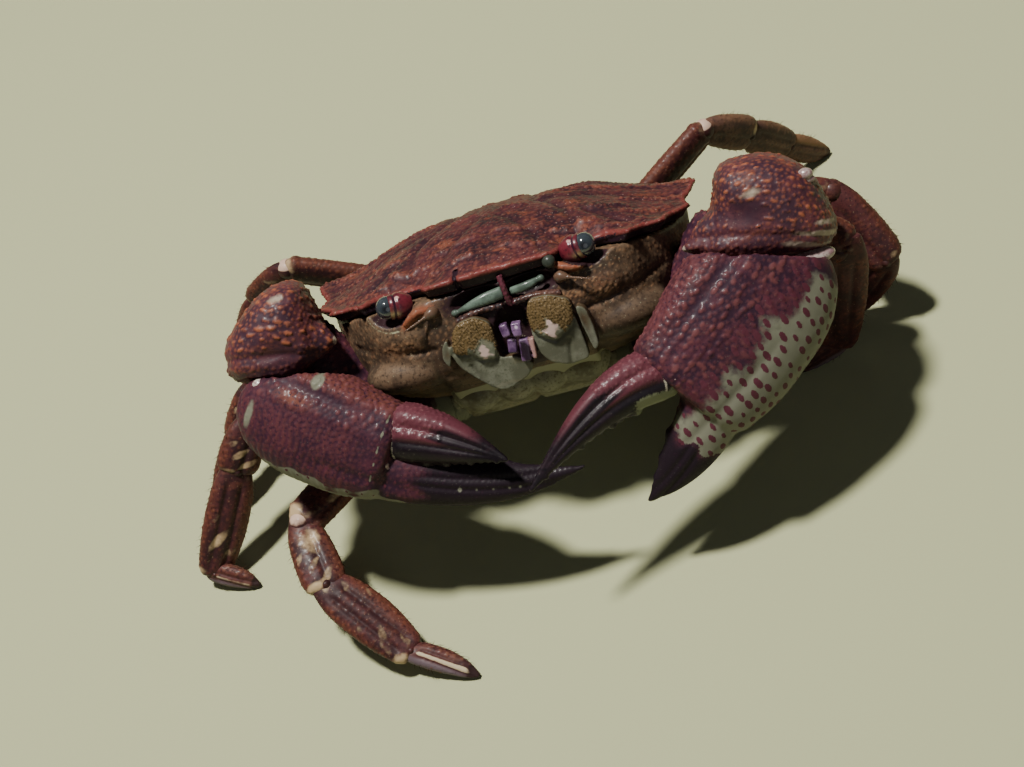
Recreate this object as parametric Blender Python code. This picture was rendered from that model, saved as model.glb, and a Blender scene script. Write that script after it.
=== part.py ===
"""Rough rock crab, life size, standing reared up on its walking legs with both claws folded in front.

Units are metres, +Z is up, and the floor is at z = 0. The crab faces -Y and its left side is +X.
Sizes are written in millimetres. Shapes of the body and claws are given in the body's own frame:
x to the crab's left, y to its back, z up through the shell, from the middle of the line between
the two last side teeth. body() turns that frame nose up and lifts it over the floor. world() takes
places over the floor as they are. Both move the crab so that the origin is under the middle of it.
"""
import math

import bmesh
import bpy
from mathutils import Matrix, Vector

MM = 0.001
GAP = 0.3                      # clear space where two pieces meet
PITCH = math.radians(35.0)     # how far the body is reared, nose up
RIDE_HEIGHT = 37.0             # floor to the middle of the shell's rim
STAND_CENTRE = (-3.2, -23.0)   # middle of the whole stance, seen from above
SHELL_WIDTH = 80.0             # across the tips of the last side teeth
SHELL_FRONT = -36.8            # front edge of the shell, at its middle
SHELL_REAR = 31.5              # rear edge of the shell, at its middle
DOME_TOP = (-10.0, 7.4)        # where the shell is highest along y, and how high
UNDER_TOP = -2.3               # where the shell meets the body below it, at the middle
MOUTH_HALF = 14.6              # half the width of the middle strip between the two flanks
MOUTH_BACK = -24.0             # where the mouth frame ends and the breastplate starts
EYES = {"l": (18.2, -34.2, -0.4), "r": (-20.6, -34.2, -1.7)}
EYE_RADIUS = 2.0

COLOURS = {
    "shell": ((0.16, 0.035, 0.03), 0.35),
    "flank": ((0.22, 0.12, 0.05), 0.45),
    "cream": ((0.55, 0.50, 0.32), 0.5),
    "mouth": ((0.12, 0.06, 0.04), 0.6),
    "fuzz": ((0.40, 0.30, 0.16), 0.8),
    "feeler": ((0.22, 0.28, 0.22), 0.5),
    "stalk": ((0.40, 0.03, 0.04), 0.3),
    "eye": ((0.05, 0.06, 0.08), 0.15),
    "claw": ((0.14, 0.025, 0.035), 0.35),
    "finger": ((0.02, 0.012, 0.02), 0.25),
    "leg": ((0.15, 0.04, 0.03), 0.4),
    "toe": ((0.20, 0.06, 0.04), 0.4),
}


def world(x, y, z):
    """A place over the floor, in millimetres, to metres from the origin."""
    return Vector((x - STAND_CENTRE[0], y - STAND_CENTRE[1], z)) * MM


def body(x, y, z):
    """Body frame in millimetres to the world in metres."""
    back = y * math.cos(PITCH) + z * math.sin(PITCH)
    up = RIDE_HEIGHT - y * math.sin(PITCH) + z * math.cos(PITCH)
    return world(x, back, up)


def turn(x, y, z):
    """A direction in the body frame, as a unit vector in the world."""
    return (body(x, y, z) - body(0, 0, 0)).normalized()


def mix(low, high, share):
    return low + (high - low) * share


def read_curve(points, at):
    """Value of a curve given by (place, value) pairs, eased between them."""
    if at <= points[0][0]:
        return points[0][1]
    for (start, low), (end, high) in zip(points, points[1:]):
        if at <= end:
            return mix(low, high, (at - start) / (end - start))
    return points[-1][1]


def clear_scene():
    for obj in list(bpy.data.objects):
        bpy.data.objects.remove(obj, do_unlink=True)


def material(kind):
    found = bpy.data.materials.get(kind)
    if found:
        return found
    colour, roughness = COLOURS[kind]
    made = bpy.data.materials.new(kind)
    made.use_nodes = True
    shader = made.node_tree.nodes["Principled BSDF"]
    shader.inputs["Base Color"].default_value = (*colour, 1.0)
    shader.inputs["Roughness"].default_value = roughness
    shader.inputs["Metallic"].default_value = 0.0
    return made


def add_object(name, bm, kind):
    """One closed mesh becomes one named piece."""
    bmesh.ops.remove_doubles(bm, verts=bm.verts[:], dist=0.00002)
    bmesh.ops.dissolve_degenerate(bm, edges=bm.edges[:], dist=0.00001)
    bmesh.ops.triangulate(bm, faces=bm.faces[:])
    bmesh.ops.recalc_face_normals(bm, faces=bm.faces[:])
    mesh = bpy.data.meshes.new(name)
    bm.to_mesh(mesh)
    bm.free()
    mesh.materials.append(material(kind))
    mesh.shade_smooth()
    mesh.set_sharp_from_angle(angle=math.radians(50))
    obj = bpy.data.objects.new(name, mesh)
    bpy.context.scene.collection.objects.link(obj)
    return obj


def loft(bm, rings):
    """A closed skin over rings of points, each ring extruded from the one before."""
    cap = bm.faces.new([bm.verts.new(point) for point in rings[0]])
    order = list(cap.verts)
    for number, ring in enumerate(rings[1:]):
        places = {tuple(vert.co): index for index, vert in enumerate(order)}
        grown = bmesh.ops.extrude_face_region(bm, geom=[cap])["geom"]
        if number > 0:
            bmesh.ops.delete(bm, geom=[cap], context="FACES_ONLY")
        cap = next(item for item in grown if isinstance(item, bmesh.types.BMFace))
        new_order = [None] * len(order)
        for vert in cap.verts:
            new_order[places[tuple(vert.co)]] = vert
        for vert, point in zip(new_order, ring):
            vert.co = point
        order = new_order


def trim(bm, point, normal):
    """Cuts away what lies past a plane and closes the cut."""
    geom = bm.verts[:] + bm.edges[:] + bm.faces[:]
    bmesh.ops.bisect_plane(bm, geom=geom, dist=1e-7, plane_co=point, plane_no=normal, clear_outer=True)
    rim = [edge for edge in bm.edges if edge.is_boundary]
    bmesh.ops.holes_fill(bm, edges=rim, sides=0)


def oval(centre, across, over, half_across, half_over, sides, power=2.2):
    """A ring of points on a squared oval."""
    points = []
    for index in range(sides):
        angle = 2 * math.pi * (index + 0.5) / sides
        cos, sin = math.cos(angle), math.sin(angle)
        along = math.copysign(abs(cos) ** (2 / power), cos) * half_across
        up = math.copysign(abs(sin) ** (2 / power), sin) * half_over
        points.append(centre + across * along * MM + over * up * MM)
    return points


def join(bm_list, operation="UNION"):
    """Boolean of several closed meshes, keeping the largest closed surface."""
    objects = []
    for index, bm in enumerate(bm_list):
        bmesh.ops.triangulate(bm, faces=bm.faces[:])
        bmesh.ops.recalc_face_normals(bm, faces=bm.faces[:])
        mesh = bpy.data.meshes.new(f"raw_{index}")
        bm.to_mesh(mesh)
        bm.free()
        obj = bpy.data.objects.new(f"raw_{index}", mesh)
        bpy.context.scene.collection.objects.link(obj)
        objects.append(obj)
    base, tools = objects[0], objects[1:]
    tool_set = bpy.data.collections.new("tools")
    for obj in tools:
        tool_set.objects.link(obj)
    cut = base.modifiers.new("join", "BOOLEAN")
    cut.operation = operation
    cut.operand_type = "COLLECTION"
    cut.collection = tool_set
    cut.solver = "EXACT"
    bpy.context.view_layer.update()
    evaluated = base.evaluated_get(bpy.context.evaluated_depsgraph_get())
    result = bmesh.new()
    result.from_mesh(evaluated.to_mesh())
    evaluated.to_mesh_clear()
    for obj in objects:
        bpy.data.objects.remove(obj, do_unlink=True)
    bpy.data.collections.remove(tool_set)
    bmesh.ops.remove_doubles(result, verts=result.verts[:], dist=0.00001)
    keep_largest(result)
    return result


def keep_largest(bm):
    bm.verts.ensure_lookup_table()
    seen, shells = set(), []
    for start in bm.verts:
        if start in seen:
            continue
        shell, stack = [], [start]
        seen.add(start)
        while stack:
            vert = stack.pop()
            shell.append(vert)
            for edge in vert.link_edges:
                other = edge.other_vert(vert)
                if other not in seen:
                    seen.add(other)
                    stack.append(other)
        shells.append(shell)
    shells.sort(key=len)
    for shell in shells[:-1]:
        bmesh.ops.delete(bm, geom=shell, context="VERTS")


# Shell outline, left half, from the middle of the front to the middle of the rear
FRONT_EDGE = [(0.0, SHELL_FRONT), (5.0, -37.1), (10.0, -36.7), (13.4, -35.6)]
ORBIT_EDGE = [(13.5, -33.4), (14.0, -31.0), (17.4, -29.4), (21.8, -29.4), (24.4, -31.0)]
SIDE_TEETH = [(27.0, -33.4), (33.6, -26.6), (38.2, -15.6), (SHELL_WIDTH / 2, -1.6)]
TOOTH_NOTCHES = [(29.6, -28.2), (34.9, -19.6), (37.5, -8.6)]
REAR_SIDE = [(37.4, 2.4), (34.0, 9.5), (29.8, 16.5), (25.2, 22.8), (20.4, 28.0)]
REAR_EDGE = [(16.6, 30.6), (9.0, 31.4), (0.0, SHELL_REAR)]

# How the dome falls off to the front, rear and sides: a power of the way out, then of what is left
DOME_FRONT, DOME_REAR, DOME_SIDE = (2.4, 0.85), (1.8, 1.3), (2.45, 1.9)

# Half width of the body below the shell, its depth and its squareness, along y
BODY_WIDTH = [(-33, 24.5), (-30, 27.5), (-25, 31.5), (-18, 34.5), (-10, 36.6), (-2, 37.0),
              (5, 34.5), (12, 31.0), (20, 26.2), (26, 21.0), (29.5, 17.0)]
BODY_DEPTH = [(-33, 16.0), (-28, 19.5), (-20, 23.0), (-8, 24.5), (4, 23.5), (14, 20.0),
              (22, 15.0), (29.5, 8.0)]
CORE_DEPTH = [(-33, 17.0), (-28, 22.0), (-22, 27.5), (-12, 28.0), (0, 26.0), (14, 21.0),
              (22, 15.4), (29.5, 8.2)]
BODY_SQUARE = [(-33, 3.4), (-18, 3.0), (-4, 2.2), (30, 2.0)]
RIM_HEIGHT = [(-37, 0.4), (-28, -1.0), (-17, -2.0), (-8, -1.4), (0, 0.0), (7, -0.9), (16, -1.4),
              (25, -0.8), (32, 1.0)]


def shell_outline():
    half = list(FRONT_EDGE) + list(ORBIT_EDGE)
    for tooth, notch in zip(SIDE_TEETH, TOOTH_NOTCHES):
        half += [tooth, (mix(tooth[0], notch[0], 0.55) + 0.3, mix(tooth[1], notch[1], 0.55)), notch]
    half += [SIDE_TEETH[-1]] + REAR_SIDE + REAR_EDGE
    other = [(-x, y) for x, y in reversed(half[1:-1])]
    return half + other


def even_outline(outline, passes=14):
    """The shell outline with its teeth and notches smoothed away."""
    for _ in range(passes):
        turned = outline[-1:] + outline[:-1], outline[1:] + outline[:1]
        outline = [((a[0] + 2 * b[0] + c[0]) / 4, (a[1] + 2 * b[1] + c[1]) / 4)
                   for a, b, c in zip(turned[0], outline, turned[1])]
    return outline


def under_shell(x, y):
    """Height of the seam between the shell and the body below it."""
    share = min(abs(x) / read_curve(BODY_WIDTH, y), 1.1)
    return UNDER_TOP + read_curve(RIM_HEIGHT, y) * share ** 2


def dome_height(share, x, y):
    """Height of the shell's top, from its middle (share 0) to its rim (share 1)."""
    middle, top = DOME_TOP
    power, fall = DOME_FRONT if y < middle else DOME_REAR
    sideways = x ** 2 / (x ** 2 + (y - middle) ** 2)
    power, fall = mix(power, DOME_SIDE[0], sideways), mix(fall, DOME_SIDE[1], sideways)
    return top * (1 - share ** power) ** fall + read_curve(RIM_HEIGHT, y) * share ** 2


def make_carapace():
    outline = shell_outline()
    even = even_outline(outline)
    middle = DOME_TOP[0]
    rings = []
    for share in (0.12, 0.36, 0.56, 0.72, 0.84, 0.93, 0.98):
        ring = []
        for (x, y), (even_x, even_y) in zip(outline, even):
            x, y = mix(even_x, x, share ** 5), mix(even_y, y, share ** 5)
            px, py = x * share, middle + (y - middle) * share
            ring.append(body(px, py, dome_height(share, px, py)))
        rings.append(ring)
    rings.append([body(x, y, read_curve(RIM_HEIGHT, y)) for x, y in outline])
    for share, drop in ((0.985, 0.9), (0.955, None), (0.6, None), (0.2, None)):
        ring = []
        for x, y in outline:
            px, py = x * share, middle + (y - middle) * share
            level = under_shell(px, py) + GAP if drop is None else read_curve(RIM_HEIGHT, y) - drop
            ring.append(body(px, py, level))
        rings.append(ring)
    bm = bmesh.new()
    loft(bm, rings)
    return add_object("carapace", bm, "shell")


def body_sections(depths, grow=0.0, steps=34):
    """Cross sections of the body below the shell, from front to rear."""
    rings = []
    places = [-33.0 - grow, -31, -27.5, -23, -17, -10, -3, 4, 11, 17.5, 23.5, 29.5 + grow]
    for y in places:
        width = read_curve(BODY_WIDTH, y) + grow
        depth = read_curve(depths, y) + grow
        power = read_curve(BODY_SQUARE, y)
        ring = []
        for index in range(steps + 1):
            angle = math.pi * index / steps
            x = width * math.copysign(abs(math.cos(angle)) ** (2 / (power + 0.6)), math.cos(angle))
            z = under_shell(x, y) - depth * math.sin(angle) ** (2 / power)
            ring.append(body(x, y, z))
        for share in (-0.6, -0.2, 0.2, 0.6):
            ring.append(body(width * share, y, under_shell(width * share, y) + grow))
        rings.append(ring)
    return rings


def trunk_cutters():
    """The flanks and the deeper middle strip, grown by the gap, for cutting the limbs' roots."""
    flanks, core = bmesh.new(), bmesh.new()
    loft(flanks, body_sections(BODY_DEPTH, GAP))
    loft(core, body_sections(CORE_DEPTH, GAP))
    for side in (1, -1):
        trim(core, body(side * (MOUTH_HALF + GAP / 2), 0, 0), turn(side, 0, 0))
    return [flanks, core]


def make_trunk(name, kind, depths, cuts, tools=()):
    bm = bmesh.new()
    loft(bm, body_sections(depths))
    for point, normal in cuts:
        trim(bm, body(*point), turn(*normal))
    if tools:
        bm = join([bm, *tools], "DIFFERENCE")
    return add_object(name, bm, kind)


def orbit_cutter(letter):
    bm = bmesh.new()
    bmesh.ops.create_uvsphere(bm, u_segments=14, v_segments=10, radius=1.0)
    frame = Matrix.Translation(body(*EYES[letter]))
    frame = frame @ Matrix.Rotation(-PITCH, 4, "X") @ Matrix.Diagonal((5.4 * MM, 4.4 * MM, 3.9 * MM, 1))
    bmesh.ops.transform(bm, matrix=frame, verts=bm.verts[:])
    return bm


def make_trunk_pieces():
    half = GAP / 2
    for side, letter in ((1, "l"), (-1, "r")):
        inner = ((side * (MOUTH_HALF + half), 0, 0), (-side, 0, 0))
        make_trunk(f"flank_{letter}", "flank", BODY_DEPTH, [inner], [orbit_cutter(letter)])
    sides = [((s * (MOUTH_HALF - half), 0, 0), (s, 0, 0)) for s in (1, -1)]
    make_trunk("epistome", "mouth", CORE_DEPTH, sides + [((0, MOUTH_BACK - half, 0), (0, 1, 0))])
    make_trunk("sternum", "cream", CORE_DEPTH, sides + [((0, MOUTH_BACK + half, 0), (0, -1, 0))])


def underside(y):
    """Height of the body's underside on its middle line."""
    return UNDER_TOP - read_curve(CORE_DEPTH, y)


# Half width of the tail flap along y
TAIL_FLAP = [(28.6, 6.5), (24, 8.2), (19, 8.3), (13, 7.2), (6, 5.6), (-1, 4.2), (-7, 2.9), (-10, 1.4)]


def make_abdomen():
    """The tail flap, folded forward under the breastplate."""
    rings = []
    for y, half in TAIL_FLAP:
        top = underside(y) - GAP - 0.35
        centre = body(0, y, top - 1.1)
        rings.append(oval(centre, turn(1, 0, 0), turn(0, 0.25, 1), half, 1.1, 10, 3.0))
    bm = bmesh.new()
    loft(bm, rings)
    add_object("abdomen", bm, "cream")


def tube(points, across, halves, sides=10, power=2.2):
    """Rings along a bent path, with the broad way of each ring held near one direction."""
    rings = []
    for index, point in enumerate(points):
        before = points[max(index - 1, 0)]
        after = points[min(index + 1, len(points) - 1)]
        along = (after - before).normalized()
        wide = (across - along * across.dot(along)).normalized()
        over = along.cross(wide)
        rings.append(oval(point, wide, over, halves[index][0], halves[index][1], sides, power))
    return rings


def bend(start, lean, end, count):
    """Points on a curve from start to end that leans towards a third point."""
    points = []
    for index in range(count):
        t = index / (count - 1)
        points.append(start * (1 - t) ** 2 + lean * 2 * t * (1 - t) + end * t ** 2)
    return points


# Outer jaw legs seen from the front, corners as (x, z): knee plate, long inner plate, narrow outer plate
JAW_PLATES = {
    "l": [[(4.8, -8.8), (5.9, -6.7), (9.5, -6.9), (13.2, -8.8), (13.0, -12.4), (11.6, -14.2), (8.4, -15.9),
           (6.2, -14.4), (4.7, -12.5)],
          [(4.5, -12.0), (9.0, -11.0), (13.2, -11.6), (13.6, -18.8), (13.4, -21.2), (9.5, -21.5),
           (6.2, -20.1), (4.6, -17.2)],
          [(12.6, -10.2), (15.5, -11.2), (16.0, -15.0), (15.9, -19.2), (14.6, -20.2), (12.8, -18.0)]],
    "r": [[(-9.9, -9.2), (-8.4, -7.5), (-5.0, -7.1), (-2.4, -9.0), (-2.4, -13.0), (-3.2, -16.2),
           (-6.2, -15.7), (-7.4, -13.9), (-10.8, -13.0)],
          [(-11.6, -11.6), (-6.0, -11.0), (-2.8, -13.0), (-2.6, -16.4), (-0.4, -16.5), (1.6, -17.8),
           (3.2, -19.2), (1.2, -21.5), (-3.4, -23.1), (-5.6, -22.2), (-8.2, -19.2), (-10.6, -16.0)],
          [(-9.6, -9.8), (-12.5, -11.0), (-13.2, -13.6), (-12.4, -15.8), (-9.8, -15.0)]],
}
JAW_FRONT = -38.4              # front of the knee plates
JAW_LEAN = 0.27                # how fast the plates lean back below JAW_BEND
JAW_BEND = -13.0
# How far each plate stands back from the front, and the depth where it ends
JAW_LAYERS = [(0.0, -33.5), (0.6, -33.3), (0.8, -33.4)]


def soften(line):
    """A closed line with each corner cut off a quarter of the way along both its sides."""
    points = []
    for (ax, ay), (bx, by) in zip(line, line[1:] + line[:1]):
        points += [(mix(ax, bx, 0.25), mix(ay, by, 0.25)), (mix(ax, bx, 0.75), mix(ay, by, 0.75))]
    return points


def middle_of(line):
    return sum(x for x, _ in line) / len(line), sum(z for _, z in line) / len(line)


def make_mouth_parts(letter):
    pieces = []
    for corners, (step, back) in zip(JAW_PLATES[letter], JAW_LAYERS):
        line = soften(corners)
        middle = middle_of(line)
        rings = []
        for share, depth in ((0.86, 0.0), (1.0, 0.7)):
            ring = []
            for x, z in line:
                front = JAW_FRONT + step + depth + JAW_LEAN * max(0.0, JAW_BEND - z)
                ring.append(body(mix(middle[0], x, share), front, mix(middle[1], z, share)))
            rings.append(ring)
        rings.append([body(x, back, z) for x, z in line])
        bm = bmesh.new()
        loft(bm, rings)
        pieces.append(bm)
    add_object(f"maxilliped_{letter}", join(pieces), "fuzz")


# Inner feelers lie folded under the front edge, root first; the outer ones are short
INNER_FEELERS = {"l": [(2.7, -33.9, -4.9), (5.6, -36.2, -4.6), (8.6, -35.5, -4.0)],
                 "r": [(1.2, -33.9, -4.6), (-3.4, -36.4, -5.0), (-8.2, -35.3, -6.0)]}
INNER_HALVES = {"l": [(0.7, 0.6), (0.85, 0.7), (0.85, 0.7), (0.7, 0.6), (0.45, 0.4)],
                "r": [(0.8, 0.6), (1.2, 0.8), (1.1, 0.8), (0.8, 0.6), (0.4, 0.4)]}
OUTER_FEELER = [(12.2, -34.5, -5.0), (12.6, -35.9, -4.6), (13.8, -36.6, -4.9), (15.8, -37.4, -5.5),
                (18.2, -37.9, -6.2)]
OUTER_HALVES = [(1.15, 1.15), (1.2, 1.2), (0.8, 0.8), (0.42, 0.42), (0.2, 0.2)]


def make_feelers(side, letter):
    inner = [body(*place) for place in INNER_FEELERS[letter]]
    sizes = INNER_HALVES[letter]
    bm = bmesh.new()
    loft(bm, tube(bend(*inner, len(sizes)), turn(0, 0, 1), sizes, 8))
    add_object(f"antennule_{letter}", bm, "feeler")
    path = [body(side * x, y, z) for x, y, z in OUTER_FEELER]
    bm = bmesh.new()
    loft(bm, tube(path, turn(0, 0, 1), OUTER_HALVES, 8))
    add_object(f"antenna_{letter}", bm, "feeler")


def make_eye(side, letter):
    x, y, z = EYES[letter]
    root = body(x - side * 3.6, y + 1.0, z - 0.6)
    centre = body(x, y, z)
    along = (centre - root).normalized()
    seat = centre - along * 0.4 * MM
    bm = bmesh.new()
    loft(bm, tube([root, mixed(root, seat, 0.3), mixed(root, seat, 0.65), seat + along * 1.0 * MM],
                  turn(0, 0, 1), [(1.1, 1.1), (1.9, 1.9), (2.4, 2.3), (2.3, 2.2)], 12))
    trim(bm, seat - along * GAP / 2 * MM, along)
    add_object(f"eyestalk_{letter}", bm, "stalk")
    bm = bmesh.new()
    bmesh.ops.create_uvsphere(bm, u_segments=14, v_segments=10, radius=EYE_RADIUS * MM)
    bmesh.ops.translate(bm, vec=centre, verts=bm.verts[:])
    trim(bm, seat + along * GAP / 2 * MM, -along)
    add_object(f"eye_{letter}", bm, "eye")


def mixed(start, end, share):
    return start.lerp(end, share)


# Claws, in the body frame. Each palm runs from its wrist to the middle of its far end.
# A wrist is drawn by its outline from the front as (x, z), without its inner tooth.
CLAWS = {
    "l": {
        "side": 1, "arm_end": (43.5, -21.0, -8.5),
        "wrist_line": [(44.7, 5.9), (50.3, 6.4), (56.3, 5.2), (61.8, 0.8), (63.8, -6.0), (64.6, -11.5),
                       (62.4, -14.6), (58.0, -14.6), (48.5, -14.6), (40.5, -12.8), (36.8, -9.4),
                       (40.0, -4.2), (42.8, -0.8)],
        "tooth": (35.2, -31.0, -7.4), "seam_at": (49.7, -34.0, -12.2), "seam_way": (0.28, 0.30, 0.91),
        "palm_start": (53.5, -33.0, -13.5), "palm_end": (28.4, -41.5, -30.4),
        "palm_up": (-0.65, -0.06, 0.75),
        "palm_high": 14.4, "palm_thick": 7.6, "palm_low": 1.04, "thumb_wide": 1.45, "thumb_drop": 0.35,
        "finger_tip": (-2.6, -51.5, -38.5), "finger_lean": (15.0, -46.0, -24.5), "finger_wide": 1.12,
        "thumb_tip": (16.1, -39.5, -50.4), "thumb_lean": (26.6, -41.5, -44.4),
    },
    "r": {
        "side": -1, "arm_end": (-42.5, -21.0, -7.0),
        "wrist_line": [(-40.0, 7.8), (-36.9, 6.6), (-35.8, 1.6), (-35.0, -3.2), (-35.6, -6.4), (-38.0, -9.0),
                       (-42.1, -11.0), (-47.2, -12.4), (-51.4, -12.6), (-54.3, -10.4), (-55.9, -6.9),
                       (-55.9, -2.3), (-53.4, 1.0), (-48.9, 4.5), (-44.7, 7.1)],
        "tooth": (-32.6, -31.0, -5.6), "seam_at": (-47.0, -31.8, -9.6), "seam_way": (0.21, 0.38, 0.90),
        "palm_start": (-49.8, -32.5, -14.0), "palm_end": (-27.5, -39.0, -27.6),
        "palm_up": (0.52, 0.08, 0.85),
        "palm_high": 11.2, "palm_thick": 7.4, "palm_low": 1.0, "thumb_wide": 1.08, "thumb_drop": 0.47,
        "finger_tip": (-7.6, -46.5, -30.6), "finger_lean": (-15.0, -42.0, -23.2), "finger_wide": 1.02,
        "thumb_tip": (7.6, -41.5, -39.6), "thumb_lean": (-12.0, -41.0, -43.0),
    },
}
# Depth of each layer of a wrist along y, and how much of the outline it fills
WRIST_LAYERS = [(-36.6, 0.30), (-35.8, 0.58), (-33.6, 0.84), (-30.4, 0.97), (-27.0, 1.0), (-23.4, 0.95),
                (-20.6, 0.82), (-18.6, 0.56), (-17.8, 0.28)]
TOOTH_HALVES = [(5.5, 5.5), (4.2, 4.0), (2.4, 2.4), (0.3, 0.3)]
ARM_ROOT = [(12.0, -13.0, -24.0), (17.5, -17.5, -26.5), (24.0, -21.5, -26.0)]
ELBOW = (34.0, -22.5, -19.0)
ARM_HALVES = [(4.6, 4.4), (5.0, 4.6), (5.2, 4.6), (6.6, 5.4), (7.4, 6.0)]
# Place along the palm, then its height above and below its axis and its thickness, as shares
PALM_SHAPE = [(-0.17, 0.30, 0.34, 0.55), (-0.10, 0.55, 0.60, 0.74), (0.05, 0.84, 0.86, 0.9),
              (0.24, 0.97, 1.0, 1.0), (0.45, 1.0, 1.04, 1.0), (0.66, 0.94, 1.05, 0.95),
              (0.86, 0.84, 0.98, 0.84), (1.0, 0.78, 0.86, 0.76)]
FINGER_SHAPE = [(4.5, 4.6), (4.5, 4.5), (4.1, 3.9), (3.7, 3.3), (3.1, 2.7), (2.3, 1.9), (1.3, 1.0),
                (0.4, 0.3)]


def palm_frame(claw):
    start = body(*claw["palm_start"])
    end = body(*claw["palm_end"])
    along = (end - start).normalized()
    up = turn(*claw["palm_up"])
    up = (up - along * up.dot(along)).normalized()
    return start, end, along, up, along.cross(up)


def make_claw(letter, claw):
    start, end, along, up, over = palm_frame(claw)
    high, thick = claw["palm_high"], claw["palm_thick"]

    # Palm with its fixed finger
    rings = []
    for share, above, below, deep in PALM_SHAPE:
        below *= claw["palm_low"]
        centre = start.lerp(end, share) + up * high * (above - below) / 2 * MM
        rings.append(oval(centre, up, over, high * (above + below) / 2, thick * deep, 16, 2.3))
    palm = bmesh.new()
    loft(palm, rings)
    thumb = bmesh.new()
    root = end - up * high * claw["thumb_drop"] * MM - along * 7.0 * MM
    points = bend(root, body(*claw["thumb_lean"]), body(*claw["thumb_tip"]), 9)
    sizes = [(4.6, 5.0)] + [(wide * claw["thumb_wide"], deep) for wide, deep in FINGER_SHAPE]
    loft(thumb, tube(points, up, sizes, 12))
    palm = join([palm, thumb])
    seam = body(*claw["seam_at"])
    seam_way = turn(*claw["seam_way"])
    trim(palm, seam - seam_way * GAP / 2 * MM, seam_way)

    # Moving finger, from the upper part of the palm's far end
    hinge = end + up * high * 0.36 * MM + along * GAP * MM
    points = bend(hinge, body(*claw["finger_lean"]), body(*claw["finger_tip"]), 8)
    sizes = [(wide * claw["finger_wide"], deep) for wide, deep in FINGER_SHAPE]
    finger = bmesh.new()
    rings = tube(points, up, sizes, 12)
    loft(finger, [[point - along * 3 * MM for point in rings[0]]] + rings)
    trim(finger, hinge, -along)
    add_object(f"palm_{letter}", palm, "claw")
    add_object(f"finger_{letter}", finger, "finger")
    make_wrist(letter, claw, seam, seam_way)
    arm = join([arm_shape(claw, 0.0), *trunk_cutters()], "DIFFERENCE")
    add_object(f"arm_{letter}", arm, "claw")


def arm_shape(claw, grow):
    """Hip joint, short link and upper arm, all grown by a margin."""
    side = claw["side"]
    arm_end = body(*claw["arm_end"])
    elbow = body(side * ELBOW[0], ELBOW[1], ELBOW[2])
    along = (arm_end - elbow).normalized()
    path = [body(side * x, y, z) for x, y, z in ARM_ROOT]
    path += [elbow, arm_end + along * 2 * MM]
    arm = bmesh.new()
    halves = [(wide + grow, deep + grow) for wide, deep in ARM_HALVES]
    loft(arm, tube(path, turn(0, 0.2, 1), halves, 12))
    trim(arm, arm_end + along * grow * MM, along)
    return arm


def make_wrist(letter, claw, seam, seam_way):
    """A rounded block with one inner tooth, hollowed where the arm enters it."""
    line = soften(claw["wrist_line"])
    middle = middle_of(line)
    rings = []
    for depth, share in WRIST_LAYERS:
        drawn = [(mix(middle[0], x, share), mix(middle[1], z, share)) for x, z in line]
        rings.append([body(x, depth, z) for x, z in drawn])
    block = bmesh.new()
    loft(block, rings)
    tooth = bmesh.new()
    centre = body(middle[0], -28.0, middle[1])
    tip = body(*claw["tooth"])
    path = [centre.lerp(tip, share) for share in (0.2, 0.55, 0.8, 1.0)]
    loft(tooth, tube(path, turn(0, 0, 1), TOOTH_HALVES, 10))
    block = join([block, tooth])
    block = join([block, arm_shape(claw, GAP)], "DIFFERENCE")
    trim(block, seam + seam_way * GAP / 2 * MM, -seam_way)
    keep_largest(block)
    add_object(f"wrist_{letter}", block, "claw")


# Walking legs: hips in the body frame, joints and toes in the world frame over the floor
HIPS = {2: (19.5, -4.5, -22.5), 3: (18.8, 4.5, -21.5), 4: (16.8, 13.0, -18.5), 5: (13.4, 20.6, -14.5)}
LEGS = {
    "2_r": [(-53.3, -44.9, 19.0), (-50.3, -57.9, 14.0), (-36.8, -71.8, 4.8), (-24.6, -78.4, 0.6)],
    "3_r": [(-60.6, -21.8, 27.0), (-66.8, -27.5, 19.8), (-78.9, -39.7, 3.8), (-69.7, -43.9, 0.6)],
    "4_r": [(-62.2, -9.5, 23.0), (-68.5, -13.8, 14.0), (-76.2, -22.4, 4.8), (-75.6, -29.4, 0.6)],
    "5_r": [(-49.7, 13.9, 31.0), (-59.7, 15.9, 22.0), (-68.0, 16.1, 9.0), (-69.5, 11.4, 0.3)],
    "2_l": [(53.7, -13.4, 34.0), (65.2, -22.5, 30.0), (59.0, -25.3, 4.8), (49.0, -26.2, 0.6)],
    "3_l": [(65.4, -8.4, 31.0), (72.2, -17.2, 17.0), (63.3, -15.8, 4.2), (54.7, -16.0, 0.6)],
    "4_l": [(58.0, -0.6, 22.0), (65.6, -3.5, 13.0), (67.7, -8.2, 4.2), (61.3, -7.5, 0.6)],
    "5_l": [(44.0, 22.0, 28.0), (52.7, 25.8, 19.5), (60.6, 29.6, 9.0), (69.0, 32.3, 0.3)],
}
LEG_SIZES = {
    2: {"merus": (9.2, 4.8), "carpus": (9.6, 4.8), "propodus": (10.4, 4.4), "dactyl": (5.2, 3.2)},
    3: {"merus": (9.6, 4.8), "carpus": (9.6, 4.8), "propodus": (9.8, 4.4), "dactyl": (5.0, 3.2)},
    4: {"merus": (8.8, 4.6), "carpus": (7.4, 4.6), "propodus": (7.8, 4.2), "dactyl": (4.6, 3.0)},
    5: {"merus": (7.8, 4.4), "carpus": (8.8, 4.4), "propodus": (8.8, 3.8), "dactyl": (6.8, 2.8)},
}
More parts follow.
